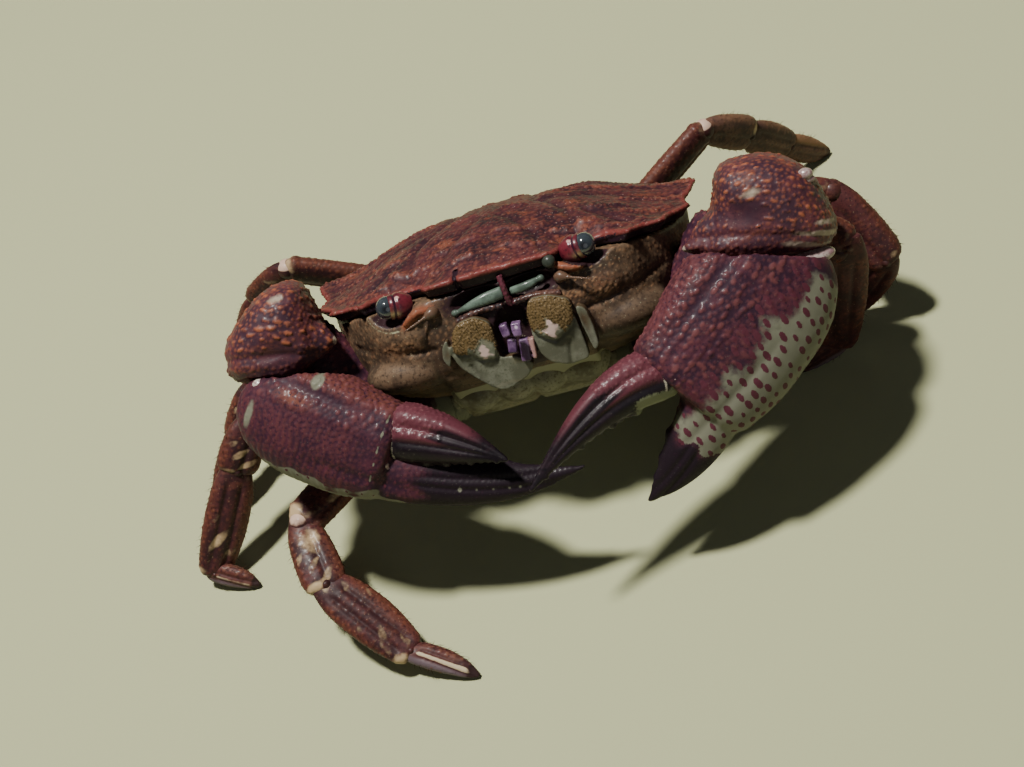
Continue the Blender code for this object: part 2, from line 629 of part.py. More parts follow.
SEGMENT_SHAPES = {
    "merus": [(0.0, 0.62), (0.14, 0.66), (0.22, 0.60), (0.36, 0.86), (0.6, 1.0), (0.84, 0.94),
              (1.0, 0.78), (1.12, 0.7)],
    "carpus": [(-0.25, 0.62), (0.06, 0.72), (0.45, 0.95), (0.8, 1.0), (1.0, 0.86), (1.25, 0.8)],
    "propodus": [(-0.2, 0.7), (0.05, 0.86), (0.35, 1.0), (0.7, 0.95), (0.95, 0.72), (1.2, 0.66)],
    "dactyl": [(-0.2, 0.9), (0.06, 0.95), (0.35, 1.0), (0.65, 0.86), (0.88, 0.58), (1.0, 0.3)],
}


def make_leg(key):
    number, letter = key.split("_")
    side = 1 if letter == "l" else -1
    hip = HIPS[int(number)]
    joints = [body(side * hip[0], hip[1], hip[2])] + [world(*point) for point in LEGS[key]]
    sizes = LEG_SIZES[int(number)]
    ways = [(b - a).normalized() for a, b in zip(joints, joints[1:])]
    plane = (joints[1] - joints[0]).cross(joints[3] - joints[1])
    for index, part in enumerate(("merus", "carpus", "propodus", "dactyl")):
        start, end = joints[index], joints[index + 1]
        along = ways[index]
        across = plane.cross(along).normalized()
        wide, deep = sizes[part]
        path = [start.lerp(end, share) for share, _ in SEGMENT_SHAPES[part]]
        halves = [(wide / 2 * size, deep / 2 * mix(size, 1, 0.3)) for _, size in SEGMENT_SHAPES[part]]
        bm = bmesh.new()
        loft(bm, tube(path, across, halves, 10))
        if part == "merus":
            bm = join([bm, *trunk_cutters()], "DIFFERENCE")
        else:
            mitre = (ways[index - 1] + along).normalized()
            trim(bm, start + mitre * GAP / 2 * MM, -mitre)
        if part == "dactyl":
            trim(bm, Vector((0, 0, 0)), Vector((0, 0, -1)))
        else:
            mitre = (along + ways[index + 1]).normalized()
            trim(bm, end - mitre * GAP / 2 * MM, mitre)
        add_object(f"leg{number}_{letter}_{part}", bm, "toe" if part == "dactyl" else "leg")


clear_scene()
make_carapace()
make_trunk_pieces()
make_abdomen()
for side, letter in ((1, "l"), (-1, "r")):
    make_mouth_parts(letter)
    make_feelers(side, letter)
    make_eye(side, letter)
for letter, claw in CLAWS.items():
    make_claw(letter, claw)
for key in LEGS:
    make_leg(key)
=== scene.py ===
import math

import bmesh
import bpy
import numpy as np
from mathutils import Matrix, Vector
from mathutils.kdtree import KDTree


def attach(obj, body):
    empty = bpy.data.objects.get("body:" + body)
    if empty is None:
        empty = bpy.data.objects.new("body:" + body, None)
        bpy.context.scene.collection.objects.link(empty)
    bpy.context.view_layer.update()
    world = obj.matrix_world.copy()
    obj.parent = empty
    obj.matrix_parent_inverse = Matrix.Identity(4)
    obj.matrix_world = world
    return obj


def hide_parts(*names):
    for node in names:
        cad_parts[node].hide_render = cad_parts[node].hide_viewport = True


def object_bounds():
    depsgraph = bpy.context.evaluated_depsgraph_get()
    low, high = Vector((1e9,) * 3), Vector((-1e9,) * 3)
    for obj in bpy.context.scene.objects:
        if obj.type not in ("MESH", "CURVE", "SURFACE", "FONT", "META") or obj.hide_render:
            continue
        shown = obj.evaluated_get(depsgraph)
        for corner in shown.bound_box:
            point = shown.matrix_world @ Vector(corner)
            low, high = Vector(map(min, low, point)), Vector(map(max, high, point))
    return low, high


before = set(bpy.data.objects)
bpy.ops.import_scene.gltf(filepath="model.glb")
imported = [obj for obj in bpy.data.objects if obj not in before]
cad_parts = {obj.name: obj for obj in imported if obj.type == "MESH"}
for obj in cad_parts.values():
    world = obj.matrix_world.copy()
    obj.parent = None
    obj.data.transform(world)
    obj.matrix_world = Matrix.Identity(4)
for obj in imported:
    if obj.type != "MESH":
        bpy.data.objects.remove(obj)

# Everything is modelled in millimetres over the floor and shrunk to metres when a piece is finished
millimetre = 0.001
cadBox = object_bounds()
boxMargin = 0.03  # every piece stays this far inside the solids' box
stance = {"pitch": 35.0, "rideHeight": 37.0, "centre": (3.2, 23.0)}  # nose up, rim over the floor, middle
bodyFrame = (Matrix.Translation((*stance["centre"], stance["rideHeight"]))
             @ Matrix.Rotation(-math.radians(stance["pitch"]), 4, "X"))
bodyTurn = np.array(bodyFrame.to_3x3())
bodyOrigin = np.array(bodyFrame.translation)
sides = {"l": 1, "r": -1}
print("frame loaded")


# Camera

camera = {"place": (56.08, -242.58, 301.08), "turn": (38.375, 16.830, -6.243), "lens": 64.865,
          "sensor": 36.0, "near": 0.01, "far": 20.0}


def makeCamera():
    lens = bpy.data.cameras.new("photoView")
    lens.lens = camera["lens"]
    lens.sensor_width = camera["sensor"]
    lens.clip_start = camera["near"]
    lens.clip_end = camera["far"]
    view = bpy.data.objects.new("photoView", lens)
    view.location = Vector(camera["place"]) * millimetre
    view.rotation_euler = [math.radians(angle) for angle in camera["turn"]]
    bpy.context.scene.collection.objects.link(view)
    bpy.context.scene.camera = view


makeCamera()


# Places and curves

def onBody(x, y, z):  # body frame: left, back, up through the shell
    return bodyFrame @ Vector((x, y, z))


def bodyWay(x, y, z):
    return (bodyFrame.to_3x3() @ Vector((x, y, z))).normalized()


def overFloor(x, y, z):  # places measured under the rim's middle
    return Vector((x + stance["centre"][0], y + stance["centre"][1], z))


def inBody(points):
    return (points - bodyOrigin) @ bodyTurn


def blend(low, high, share):
    return low + (high - low) * share


def softStep(low, high, value):
    share = np.clip((value - low) / (high - low), 0, 1)
    return share * share * (3 - 2 * share)


def ridge(value, at, width):  # 1 where a value is at a level, falling off on both sides of it
    return np.exp(-((value - at) / width) ** 2)


def softRows(rows, count=240):  # a smooth curve through (place, value) rows
    places, values = np.array(rows, float).T
    slopes = np.gradient(values, places)
    fine = np.linspace(places[0], places[-1], count)
    spot = np.clip(np.searchsorted(places, fine) - 1, 0, len(places) - 2)
    width = places[spot + 1] - places[spot]
    t = (fine - places[spot]) / width
    curve = ((2 * t ** 3 - 3 * t ** 2 + 1) * values[spot] + (t ** 3 - 2 * t ** 2 + t) * width * slopes[spot]
             + (3 * t ** 2 - 2 * t ** 3) * values[spot + 1] + (t ** 3 - t ** 2) * width * slopes[spot + 1])
    return lambda at: np.interp(at, fine, curve)


def sizesAlong(shares, wide, deep=None):  # pairs of half sizes, read from (share, half size) rows
    curves = softRows(wide), softRows(deep or wide)
    return [tuple(float(curve(share)) for curve in curves) for share in shares]


def bend(start, lean, end, count):  # a curve from start to end that leans towards a third point
    points = []
    for index in range(count):
        t = index / (count - 1)
        points.append(start * (1 - t) ** 2 + lean * 2 * t * (1 - t) + end * t ** 2)
    return points


def softPath(points, count):  # evenly spaced places on a smooth path through a few points
    steps = np.cumsum([0.0] + [(b - a).length for a, b in zip(points, points[1:])])
    axes = [softRows(list(zip(steps, [point[axis] for point in points]))) for axis in range(3)]
    return [Vector([float(axis(at)) for axis in axes]) for at in np.linspace(0, steps[-1], count)]


# Modelling

def stationAt(point, wide, over, along, halfWide, halfOver):
    turn = Matrix((wide * halfWide, over * halfOver, along)).transposed().to_4x4()
    return Matrix.Translation(point) @ turn


def tubeStations(path, across, halves):  # frames along a path, their broad way held near one direction
    stations = []
    for index, point in enumerate(path):
        along = (path[min(index + 1, len(path) - 1)] - path[max(index - 1, 0)]).normalized()
        wide = (across - along * across.dot(along)).normalized()
        stations.append(stationAt(point, wide, along.cross(wide), along, *halves[index]))
    return stations


def sweep(bm, stations, segments, power=2.2):  # a squared oval extruded through frames
    ring = bmesh.ops.create_circle(bm, cap_ends=True, segments=segments, radius=1.0)["verts"]
    for vert in ring:
        for axis in (0, 1):
            vert.co[axis] = math.copysign(abs(vert.co[axis]) ** (2 / power), vert.co[axis])
    bmesh.ops.transform(bm, matrix=stations[0], verts=ring)
    cap = ring[0].link_faces[0]
    for number, (before, after) in enumerate(zip(stations, stations[1:])):
        grown = bmesh.ops.extrude_face_region(bm, geom=[cap])["geom"]
        if number > 0:
            bmesh.ops.delete(bm, geom=[cap], context="FACES_ONLY")
        cap = next(item for item in grown if isinstance(item, bmesh.types.BMFace))
        bmesh.ops.transform(bm, matrix=after @ before.inverted(), verts=cap.verts[:])


def soften(line):  # a closed line with its corners cut, as the solids have them
    points = []
    for first, second in zip(line, line[1:] + line[:1]):
        for share in (0.25, 0.75):
            points.append(tuple(blend(a, b, share) for a, b in zip(first, second)))
    return points


def skin(bm, rings):  # a closed skin over shaped rings, each extruded from the one before
    cap = bm.faces.new([bm.verts.new(point) for point in rings[0]])
    order = list(cap.verts)
    for number, ring in enumerate(rings[1:]):
        places = {tuple(vert.co): index for index, vert in enumerate(order)}
        grown = bmesh.ops.extrude_face_region(bm, geom=[cap])["geom"]
        if number > 0:
            bmesh.ops.delete(bm, geom=[cap], context="FACES_ONLY")
        cap = next(item for item in grown if isinstance(item, bmesh.types.BMFace))
        renewed = [None] * len(order)
        for vert in cap.verts:
            renewed[places[tuple(vert.co)]] = vert
        for vert, point in zip(renewed, ring):
            vert.co = point
        order = renewed


def ball(bm, centre, halves, turn=None, segments=32):  # an oval ball
    made = bmesh.ops.create_uvsphere(bm, u_segments=segments, v_segments=segments // 2, radius=1.0)["verts"]
    place = Matrix.Translation(centre) @ (turn or bodyFrame.to_3x3().to_4x4())
    bmesh.ops.transform(bm, matrix=place @ Matrix.Diagonal((*halves, 1)), verts=made)


def trim(bm, point, normal):  # cuts away what lies past a plane and closes the cut
    geom = bm.verts[:] + bm.edges[:] + bm.faces[:]
    bmesh.ops.bisect_plane(bm, geom=geom, dist=1e-5, plane_co=point, plane_no=normal, clear_outer=True)
    rim = [edge for edge in bm.edges if edge.is_boundary]
    bmesh.ops.holes_fill(bm, edges=rim, sides=0)


def addShape(bm, part):  # moves one bmesh's faces into another
    passing = bpy.data.meshes.new("passing")
    part.to_mesh(passing)
    part.free()
    bm.from_mesh(passing)
    bpy.data.meshes.remove(passing)


def fuse(bm, voxel, passes):  # closed shapes that overlap become one even skin, opened as a form
    bmesh.ops.recalc_face_normals(bm, faces=bm.faces[:])
    mesh = bpy.data.meshes.new("raw")
    bm.to_mesh(mesh)
    bm.free()
    holder = bpy.data.objects.new("raw", mesh)
    bpy.context.scene.collection.objects.link(holder)
    remesh = holder.modifiers.new("fuse", "REMESH")
    remesh.mode = "VOXEL"
    remesh.voxel_size = voxel
    shaped = holder.evaluated_get(bpy.context.evaluated_depsgraph_get())
    fused = bmesh.new()
    fused.from_mesh(shaped.to_mesh())
    shaped.to_mesh_clear()
    bpy.data.objects.remove(holder, do_unlink=True)
    bpy.data.meshes.remove(mesh)
    for _ in range(passes):
        bmesh.ops.smooth_vert(fused, verts=fused.verts[:], factor=0.5,
                              use_axis_x=True, use_axis_y=True, use_axis_z=True)
    return openForm(fused)


# Sculpting: a form keeps its points, their outward ways and its named marks while it is worked on

def openForm(bm):
    mesh = bpy.data.meshes.new("form")
    bm.to_mesh(mesh)
    bm.free()
    form = {"mesh": mesh, "marks": {}}
    readForm(form)
    return form


def readForm(form):
    count = len(form["mesh"].vertices)
    for key, name in (("points", "co"), ("ways", "normal")):
        values = np.empty(count * 3)
        form["mesh"].vertices.foreach_get(name, values)
        form[key] = values.reshape(-1, 3)


def storeForm(form):  # the ways and the tree are then those of the points as they stand
    form["mesh"].vertices.foreach_set("co", form["points"].ravel())
    form["mesh"].update()
    readForm(form)
    form["tree"] = KDTree(len(form["points"]))
    for index, point in enumerate(form["points"]):
        form["tree"].insert(point, index)
    form["tree"].balance()


def reopen(form, voxel, passes, cut=None):  # a stored form cut along a plane and fused again
    bm = bmesh.new()
    bm.from_mesh(form["mesh"])
    if cut:
        trim(bm, *cut)
    return fuse(bm, voxel, passes)


def lift(form, amount):
    form["points"] = form["points"] + form["ways"] * amount[:, None]


def mark(form, name, values):  # a mark keeps the strongest value it was given
    kept = form["marks"].get(name, np.zeros(len(form["points"])))
    form["marks"][name] = np.maximum(kept, np.clip(values, 0, 1))


def spread(form, spacing, allowed, seed, most=30000):  # points that keep a spacing, picked at random
    chance = np.random.default_rng(seed)
    order = chance.permutation(np.flatnonzero(allowed))[:most]
    cells, chosen = {}, []
    steps = [(a, b, c) for a in (-1, 0, 1) for b in (-1, 0, 1) for c in (-1, 0, 1)]
    for index in order:
        place = form["points"][index]
        a, b, c = (place // spacing).astype(int).tolist()
        near = [other for i, j, k in steps for other in cells.get((a + i, b + j, c + k), ())]
        if all(np.dot(place - other, place - other) > spacing ** 2 for other in near):
            cells.setdefault((a, b, c), []).append(place)
            chosen.append(index)
    return chosen


def beads(form, chosen, radius, height, seed, name, along=None, times=1.0):  # low grains on points
    chance = np.random.default_rng(seed)
    raised, shown = np.zeros((2, len(form["points"])))
    ways = None if along is None else np.broadcast_to(np.array(along), (len(chosen), 3))
    for number, index in enumerate(chosen):
        size = radius * chance.uniform(0.7, 1.3)
        tall = height * chance.uniform(0.6, 1.25)
        place = form["points"][index]
        near = [other for _, other, _ in form["tree"].find_range(place, size * times)]
        offset = form["points"][near] - place
        if ways is not None:  # drawn out along a way
            offset = offset - np.outer(offset @ ways[number] * (1 - 1 / times), ways[number])
        share = np.clip(1 - (offset ** 2).sum(1) / size ** 2, 0, 1)
        raised[near] = np.maximum(raised[near], tall * share)
        shown[near] = np.maximum(shown[near], softStep(0.15, 0.75, share))
    lift(form, raised)
    mark(form, name, shown)


def grains(form, grain, allowed, seed, name, along=None, times=1.0):  # beads scattered where allowed
    spacing, radius, height = grain
    beads(form, spread(form, spacing, allowed, seed), radius, height, seed + 1, name, along, times)


def inRows(value, gap, share=0.42):  # true on the ridges of evenly spaced rows
    return np.abs((value / gap) % 1.0 - 0.5) < share / 2


def pathShare(points, path, width):  # 1 on a path, falling to 0 at a width from it
    path = np.array(path, float)
    best = np.full(len(points), 1e9)
    for start, end in zip(path, path[1:]):
        way = end - start
        t = np.clip((points - start) @ way / (way @ way), 0, 1)
        best = np.minimum(best, ((points - start - t[:, None] * way) ** 2).sum(1))
    return np.exp(-best / (0.5 * width) ** 2)


def spotShare(points, centre, halves):  # 1 in the middle of an oval spot, 0 outside
    return np.exp(-(((points - np.array(centre)) / np.array(halves)) ** 2).sum(1))


def measured(form, start, *ways):  # how far the points lie from a place, along each way
    offset = form["points"] - np.array(start)
    return [offset @ np.array(way) for way in ways]


def markSpots(form, points, spots):  # oval spots: the mark, how strong, the middle, the half sizes
    for name, strength, centre, halves in spots:
        mark(form, name, strength * spotShare(points, centre, halves))


def press(points, centre, halves, way):  # points inside an oval ball go out through its back
    halves = np.array(halves)
    inside = (points - np.array(centre)) / halves
    way = np.array(way) / np.linalg.norm(way)
    step = way / halves
    a, b, c = step @ step, inside @ step, (inside ** 2).sum(1) - 1
    far = (-b + np.sqrt(np.maximum(b ** 2 - a * c, 0))) / a
    return points + np.where(c < 0, far, 0)[:, None] * way


def finishForm(name, form, finish, nodes=(), smooth=True):
    mesh = form["mesh"]
    low, high = (np.array(corner) / millimetre for corner in cadBox)
    form["points"] = np.clip(form["points"], low + boxMargin, high - boxMargin)
    mesh.vertices.foreach_set("co", (form["points"] * millimetre).ravel())
    for key, values in form["marks"].items():
        mesh.attributes.new(key, "FLOAT", "POINT").data.foreach_set("value", values.astype(np.float32))
    mesh.update()
    mesh.name = name
    if smooth:
        mesh.shade_smooth()
    mesh.materials.append(finishes[finish])
    piece = bpy.data.objects.new(name, mesh)
    bpy.context.scene.collection.objects.link(piece)
    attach(piece, "root")
    if nodes:
        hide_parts(*nodes)


# Finishes

def addNode(tree, kind, **values):
    node = tree.nodes.new(kind)
    for key, value in values.items():
        if hasattr(node, key):
            setattr(node, key, value)
        else:
            node.inputs[key.replace("_", " ")].default_value = value
    return node


def mixColour(tree, factor, first, second):  # each colour is a plain value or comes from a socket
    mix = addNode(tree, "ShaderNodeMix", data_type="RGBA")
    tree.links.new(factor, mix.inputs["Factor"])
    sockets = [socket for socket in mix.inputs if socket.type == "RGBA"]
    for socket, value in zip(sockets, (first, second)):
        if isinstance(value, tuple):
            socket.default_value = (*value, 1)
        else:
            tree.links.new(value, socket)
    return next(out for out in mix.outputs if out.type == "RGBA")


def ramp(tree, value, low, high):  # 0 below low, 1 above high, eased between
    step = addNode(tree, "ShaderNodeMapRange", interpolation_type="SMOOTHSTEP")
    step.inputs["From Min"].default_value = low
    step.inputs["From Max"].default_value = high
    tree.links.new(value, step.inputs["Value"])
    return step.outputs["Result"]


def sums(tree, how, first, second):
    step = addNode(tree, "ShaderNodeMath", operation=how)
    for socket, value in zip(step.inputs, (first, second)):
        if isinstance(value, (int, float)):
            socket.default_value = value
        else:
            tree.links.new(value, socket)
    return step.outputs[0]


def noise(tree, where, scale, detail, rough):
    made = addNode(tree, "ShaderNodeTexNoise", Scale=scale, Detail=detail, Roughness=rough)
    tree.links.new(where, made.inputs["Vector"])
    return made.outputs["Fac"]


shellTone = {  # for each noise its scale, detail and roughness, for each step where it begins and is full
    "mottle": (150.0, 5, 0.62), "streak": (300.0, 4, 0.6), "fine": (1500.0, 3, 0.6), "grit": (4200.0, 2, 0.5),
    "stretch": (0.42, 1.0, 1.15), "speckAndGlint": 1900.0,
    "deep": (0.40, 0.60), "warm": (0.54, 0.66), "warmEdge": (0.28, 0.56), "pits": (0.52, 0.30),
    "rimEdge": (0.2, 0.42), "grainEdge": (0.36, 0.54), "pale": (0.38, 0.62), "spot": (0.32, 0.62),
    "dots": (0.30, 0.12), "dotChance": (0.5, 0.62),
    "fineShare": 0.45, "shadeShare": 0.85, "paleWander": 0.9, "spotWander": 0.7, "dullWander": 0.5,
    "relief": (0.7, 0.3),
}
marks = ("Grain", "Fine", "Pale", "Spot", "Rim", "Shade", "Warmth")
tints = ("Ground", "Deep", "Warm", "Grain Colour", "Pale Colour", "Spot Colour", "Rim Colour")


def makeShellTone():  # colour, gloss and height of shell: mottles, streaks, the marks, pale specks that are partly grains and partly painted glints, and grit
    group = bpy.data.node_groups.new("shellTone", "ShaderNodeTree")
    for name in (*tints, *marks, "Warm Share", "Speck And Glint Share", "Roughness"):
        kind = "NodeSocketColor" if name in tints else "NodeSocketFloat"
        group.interface.new_socket(name, in_out="INPUT", socket_type=kind)
    for name, kind in (("Colour", "Color"), ("Roughness", "Float"), ("Height", "Float")):
        group.interface.new_socket(name, in_out="OUTPUT", socket_type="NodeSocket" + kind)
    given = addNode(group, "NodeGroupInput").outputs
    shown = addNode(group, "NodeGroupOutput").inputs
    where = addNode(group, "ShaderNodeTexCoord").outputs["Object"]
    stretch = addNode(group, "ShaderNodeMapping", Scale=shellTone["stretch"])
    group.links.new(where, stretch.inputs["Vector"])
    mottle = noise(group, where, *shellTone["mottle"])
    streak = noise(group, stretch.outputs[0], *shellTone["streak"])
    fine = noise(group, where, *shellTone["fine"])
    grit = noise(group, where, *shellTone["grit"])
    speckAndGlint = addNode(group, "ShaderNodeTexVoronoi", Scale=shellTone["speckAndGlint"])
    group.links.new(where, speckAndGlint.inputs["Vector"])

    def times(first, second):
        return sums(group, "MULTIPLY", first, second)

    def step(value, key):
        return ramp(group, value, *shellTone[key])

    def wander(name, pattern, key):  # a value that wanders with a noise
        return sums(group, "ADD", given[name], times(sums(group, "SUBTRACT", pattern, 0.5), shellTone[key]))

    chance = times(step(streak, "warm"), given["Warm Share"])
    chosen = times(given["Warmth"], step(fine, "warmEdge"))
    # pale specks: partly real grains, partly painted glints of the wet shell
    dots = times(step(speckAndGlint.outputs["Distance"], "dots"), step(fine, "dotChance"))
    layers = [(step(mottle, "deep"), "Deep"), (sums(group, "MAXIMUM", chance, chosen), "Warm"),
              (step(fine, "pits"), "Deep"), (times(given["Fine"], shellTone["fineShare"]), "Grain Colour"),
              (times(given["Shade"], shellTone["shadeShare"]), "Deep"),
              (times(given["Rim"], step(fine, "rimEdge")), "Rim Colour"),
              (times(given["Grain"], step(streak, "grainEdge")), "Grain Colour"),
              (step(wander("Pale", mottle, "paleWander"), "pale"), "Pale Colour"),
              (step(wander("Spot", fine, "spotWander"), "spot"), "Spot Colour"),
              (times(dots, given["Speck And Glint Share"]), "Pale Colour")]
    colour = given["Ground"]
    for mask, tint in layers:
        colour = mixColour(group, mask, colour, given[tint])
    group.links.new(colour, shown["Colour"])
    group.links.new(wander("Roughness", fine, "dullWander"), shown["Roughness"])
    height = sums(group, "ADD", *(times(*pair) for pair in zip((fine, grit), shellTone["relief"])))
    group.links.new(height, shown["Height"])
    return group


toneGroup = makeShellTone()
blank = (0.0, 0.0, 0.0)


def shellFinish(name, ground, deep, warm, grain=blank, pale=blank, spot=blank, rim=blank, warmShare=0.5,
                speckAndGlintShare=0.1, rough=0.52, coat=0.06, bump=0.3, depth=0.0001, shine=0.2):
    # Wet shell that reads the marks
    made = bpy.data.materials.new(name)
    made.use_nodes = True
    tree = made.node_tree
    shader = tree.nodes["Principled BSDF"]
    tone = addNode(tree, "ShaderNodeGroup")
    tone.node_tree = toneGroup
    for key, colour in zip(tints, (ground, deep, warm, grain, pale, spot, rim)):
        tone.inputs[key].default_value = (*colour, 1)
    for key, value in (("Warm Share", warmShare), ("Speck And Glint Share", speckAndGlintShare), ("Roughness", rough)):
        tone.inputs[key].default_value = value
    for key in marks:
        reader = addNode(tree, "ShaderNodeAttribute", attribute_name=key.lower())
        tree.links.new(reader.outputs["Fac"], tone.inputs[key])
    relief = addNode(tree, "ShaderNodeBump", Strength=bump, Distance=depth)
    tree.links.new(tone.outputs["Height"], relief.inputs["Height"])
    tree.links.new(tone.outputs["Colour"], shader.inputs["Base Color"])
    tree.links.new(tone.outputs["Roughness"], shader.inputs["Roughness"])
    tree.links.new(relief.outputs["Normal"], shader.inputs["Normal"])
    shader.inputs["Specular IOR Level"].default_value = shine
    shader.inputs["Coat Weight"].default_value = coat
    shader.inputs["Coat Roughness"].default_value = 0.2
    return made


finishes = {
    "shell": shellFinish("shellRed", (0.068, 0.0180, 0.0210), (0.022, 0.0080, 0.0130), (0.175, 0.050, 0.027),
                         grain=(0.150, 0.046, 0.032), pale=(0.55, 0.42, 0.34), rim=(0.150, 0.032, 0.028),
                         spot=(0.018, 0.007, 0.013), warmShare=0.8, speckAndGlintShare=0.35),
    "flank": shellFinish("flankTan", (0.120, 0.076, 0.046), (0.040, 0.026, 0.018), (0.145, 0.063, 0.033),
                         grain=(0.250, 0.135, 0.070), pale=(0.26, 0.25, 0.16), rim=(0.240, 0.070, 0.034),
                         spot=(0.026, 0.011, 0.014), warmShare=0.4, speckAndGlintShare=0.55),
    "plate": shellFinish("plateCream", (0.235, 0.225, 0.155), (0.11, 0.098, 0.062), (0.22, 0.165, 0.09),
                         grain=(0.28, 0.26, 0.19), pale=(0.33, 0.31, 0.23), rim=(0.090, 0.058, 0.036),
                         spot=(0.065, 0.026, 0.024), warmShare=0.3, coat=0.2, bump=0.2),
    "jaw": shellFinish("jawGreen", (0.185, 0.190, 0.142), (0.100, 0.102, 0.070), (0.220, 0.180, 0.105),
                       grain=(0.300, 0.215, 0.100), pale=(0.55, 0.40, 0.36), rim=(0.075, 0.048, 0.026),
                       spot=(0.120, 0.078, 0.032), warmShare=0.3, coat=0.2, bump=0.2),
    "mouth": shellFinish("mouthBrown", (0.040, 0.018, 0.017), (0.014, 0.007, 0.010), (0.10, 0.044, 0.026),
                         grain=(0.14, 0.062, 0.042), pale=(0.27, 0.18, 0.17), rim=(0.095, 0.020, 0.034),
                         spot=(0.012, 0.006, 0.009), warmShare=0.35, coat=0.25),
    "feeler": shellFinish("feelerGreen", (0.115, 0.160, 0.128), (0.055, 0.076, 0.060), (0.13, 0.12, 0.075),
                          grain=(0.140, 0.092, 0.055), pale=(0.26, 0.30, 0.25), spot=(0.030, 0.036, 0.028),
                          rim=(0.100, 0.056, 0.036), warmShare=0.2, rough=0.4, coat=0.3),
    "stalk": shellFinish("stalkCrimson", (0.125, 0.015, 0.024), (0.050, 0.006, 0.014), (0.22, 0.060, 0.040),
                         pale=(0.50, 0.30, 0.26), rim=(0.36, 0.28, 0.12), spot=(0.030, 0.006, 0.016),
                         warmShare=0.35, rough=0.36, coat=0.3, bump=0.15, shine=0.4),
    "palp": shellFinish("palpPurple", (0.190, 0.110, 0.215), (0.060, 0.028, 0.075), (0.27, 0.15, 0.25),
                        pale=(0.56, 0.45, 0.56), rim=(0.32, 0.18, 0.16), spot=(0.018, 0.009, 0.016),
                        warmShare=0.4, rough=0.35, coat=0.4),
    "claw": shellFinish("clawMaroon", (0.066, 0.017, 0.028), (0.026, 0.009, 0.020), (0.200, 0.058, 0.030),
                        grain=(0.112, 0.033, 0.036), pale=(0.150, 0.150, 0.110), rim=(0.011, 0.0055, 0.010),
                        spot=(0.074, 0.017, 0.028), warmShare=0.12, speckAndGlintShare=0.22, rough=0.6, shine=0.16),
    "wrist": shellFinish("wristMaroon", (0.088, 0.025, 0.031), (0.036, 0.013, 0.023), (0.170, 0.052, 0.030),
                         grain=(0.260, 0.078, 0.038), pale=(0.31, 0.25, 0.19), rim=(0.0125, 0.0065, 0.0115),
                         spot=(0.105, 0.026, 0.036), warmShare=0.45, speckAndGlintShare=0.2, shine=0.26),
    "finger": shellFinish("fingerBlack", (0.012, 0.0055, 0.01), (0.006, 0.0035, 0.006), (0.024, 0.01, 0.015),
                          grain=(0.170, 0.058, 0.066), pale=(0.40, 0.36, 0.28), rim=(0.092, 0.0230, 0.0330),
                          spot=(0.16, 0.170, 0.100), warmShare=0.3, rough=0.5, coat=0.08, bump=0.2),
    "leg": shellFinish("legMaroon", (0.072, 0.0200, 0.0205), (0.028, 0.0100, 0.0120), (0.140, 0.046, 0.030),
                       grain=(0.130, 0.040, 0.024), pale=(0.42, 0.30, 0.17), rim=(0.115, 0.036, 0.020),
                       spot=(0.020, 0.007, 0.010), warmShare=0.5, speckAndGlintShare=0.3),
    "paddle": shellFinish("paddleOlive", (0.120, 0.060, 0.044), (0.048, 0.025, 0.022), (0.170, 0.078, 0.045),
                          grain=(0.160, 0.080, 0.045), pale=(0.42, 0.30, 0.17), rim=(0.200, 0.105, 0.055),
                          spot=(0.030, 0.014, 0.012), warmShare=0.4, speckAndGlintShare=0.2),
    "toe": shellFinish("toeStriped", (0.090, 0.026, 0.022), (0.040, 0.014, 0.015), (0.150, 0.064, 0.040),
                       grain=(0.140, 0.055, 0.036), pale=(0.46, 0.37, 0.24), rim=(0.110, 0.078, 0.090),
                       spot=(0.026, 0.012, 0.012), warmShare=0.4),
    "joint": shellFinish("jointTan", (0.066, 0.020, 0.018), (0.028, 0.010, 0.011), (0.14, 0.052, 0.032),
                         pale=(0.50, 0.35, 0.27), warmShare=0.4, coat=0.1, bump=0.15),
    "knob": shellFinish("knobWhite", (0.48, 0.43, 0.38), (0.22, 0.125, 0.135), (0.40, 0.29, 0.29),
                        warmShare=0.5, rough=0.3, coat=0.5, bump=0.1, shine=0.5),
    "hair": shellFinish("hairSandy", (0.180, 0.122, 0.055), (0.075, 0.046, 0.020), (0.31, 0.23, 0.12),
                        warmShare=0.7, rough=0.7, coat=0.0, bump=0.1),
    "bristle": shellFinish("bristleBrown", (0.055, 0.025, 0.017), (0.024, 0.011, 0.009), (0.14, 0.085, 0.04),
                           warmShare=0.5, rough=0.6, coat=0.0, bump=0.1),
}
eyeTone = {"cornea": (0.030, 0.038, 0.046), "pupil": (0.008, 0.008, 0.010), "cells": 6500.0,
           "relief": (0.15, 0.00004), "rough": 0.14, "coatRough": 0.03}


def makeEyeFinish():  # blue-grey cornea with a dark middle and tiny facets
    made = bpy.data.materials.new("corneaBlue")
    made.use_nodes = True
    tree = made.node_tree
    shader = tree.nodes["Principled BSDF"]
    where = addNode(tree, "ShaderNodeTexCoord").outputs["Object"]
    cells = addNode(tree, "ShaderNodeTexVoronoi", Scale=eyeTone["cells"])
    tree.links.new(where, cells.inputs["Vector"])
    dark = addNode(tree, "ShaderNodeAttribute", attribute_name="spot").outputs["Fac"]
    tree.links.new(mixColour(tree, dark, eyeTone["cornea"], eyeTone["pupil"]), shader.inputs["Base Color"])
    strength, depth = eyeTone["relief"]
    relief = addNode(tree, "ShaderNodeBump", Strength=strength, Distance=depth)
    tree.links.new(cells.outputs["Distance"], relief.inputs["Height"])
    tree.links.new(relief.outputs["Normal"], shader.inputs["Normal"])
    shader.inputs["Roughness"].default_value = eyeTone["rough"]
    shader.inputs["Coat Weight"].default_value = 1.0
    shader.inputs["Coat Roughness"].default_value = eyeTone["coatRough"]
    return made


finishes["eye"] = makeEyeFinish()
print("finishes made")


# Shell

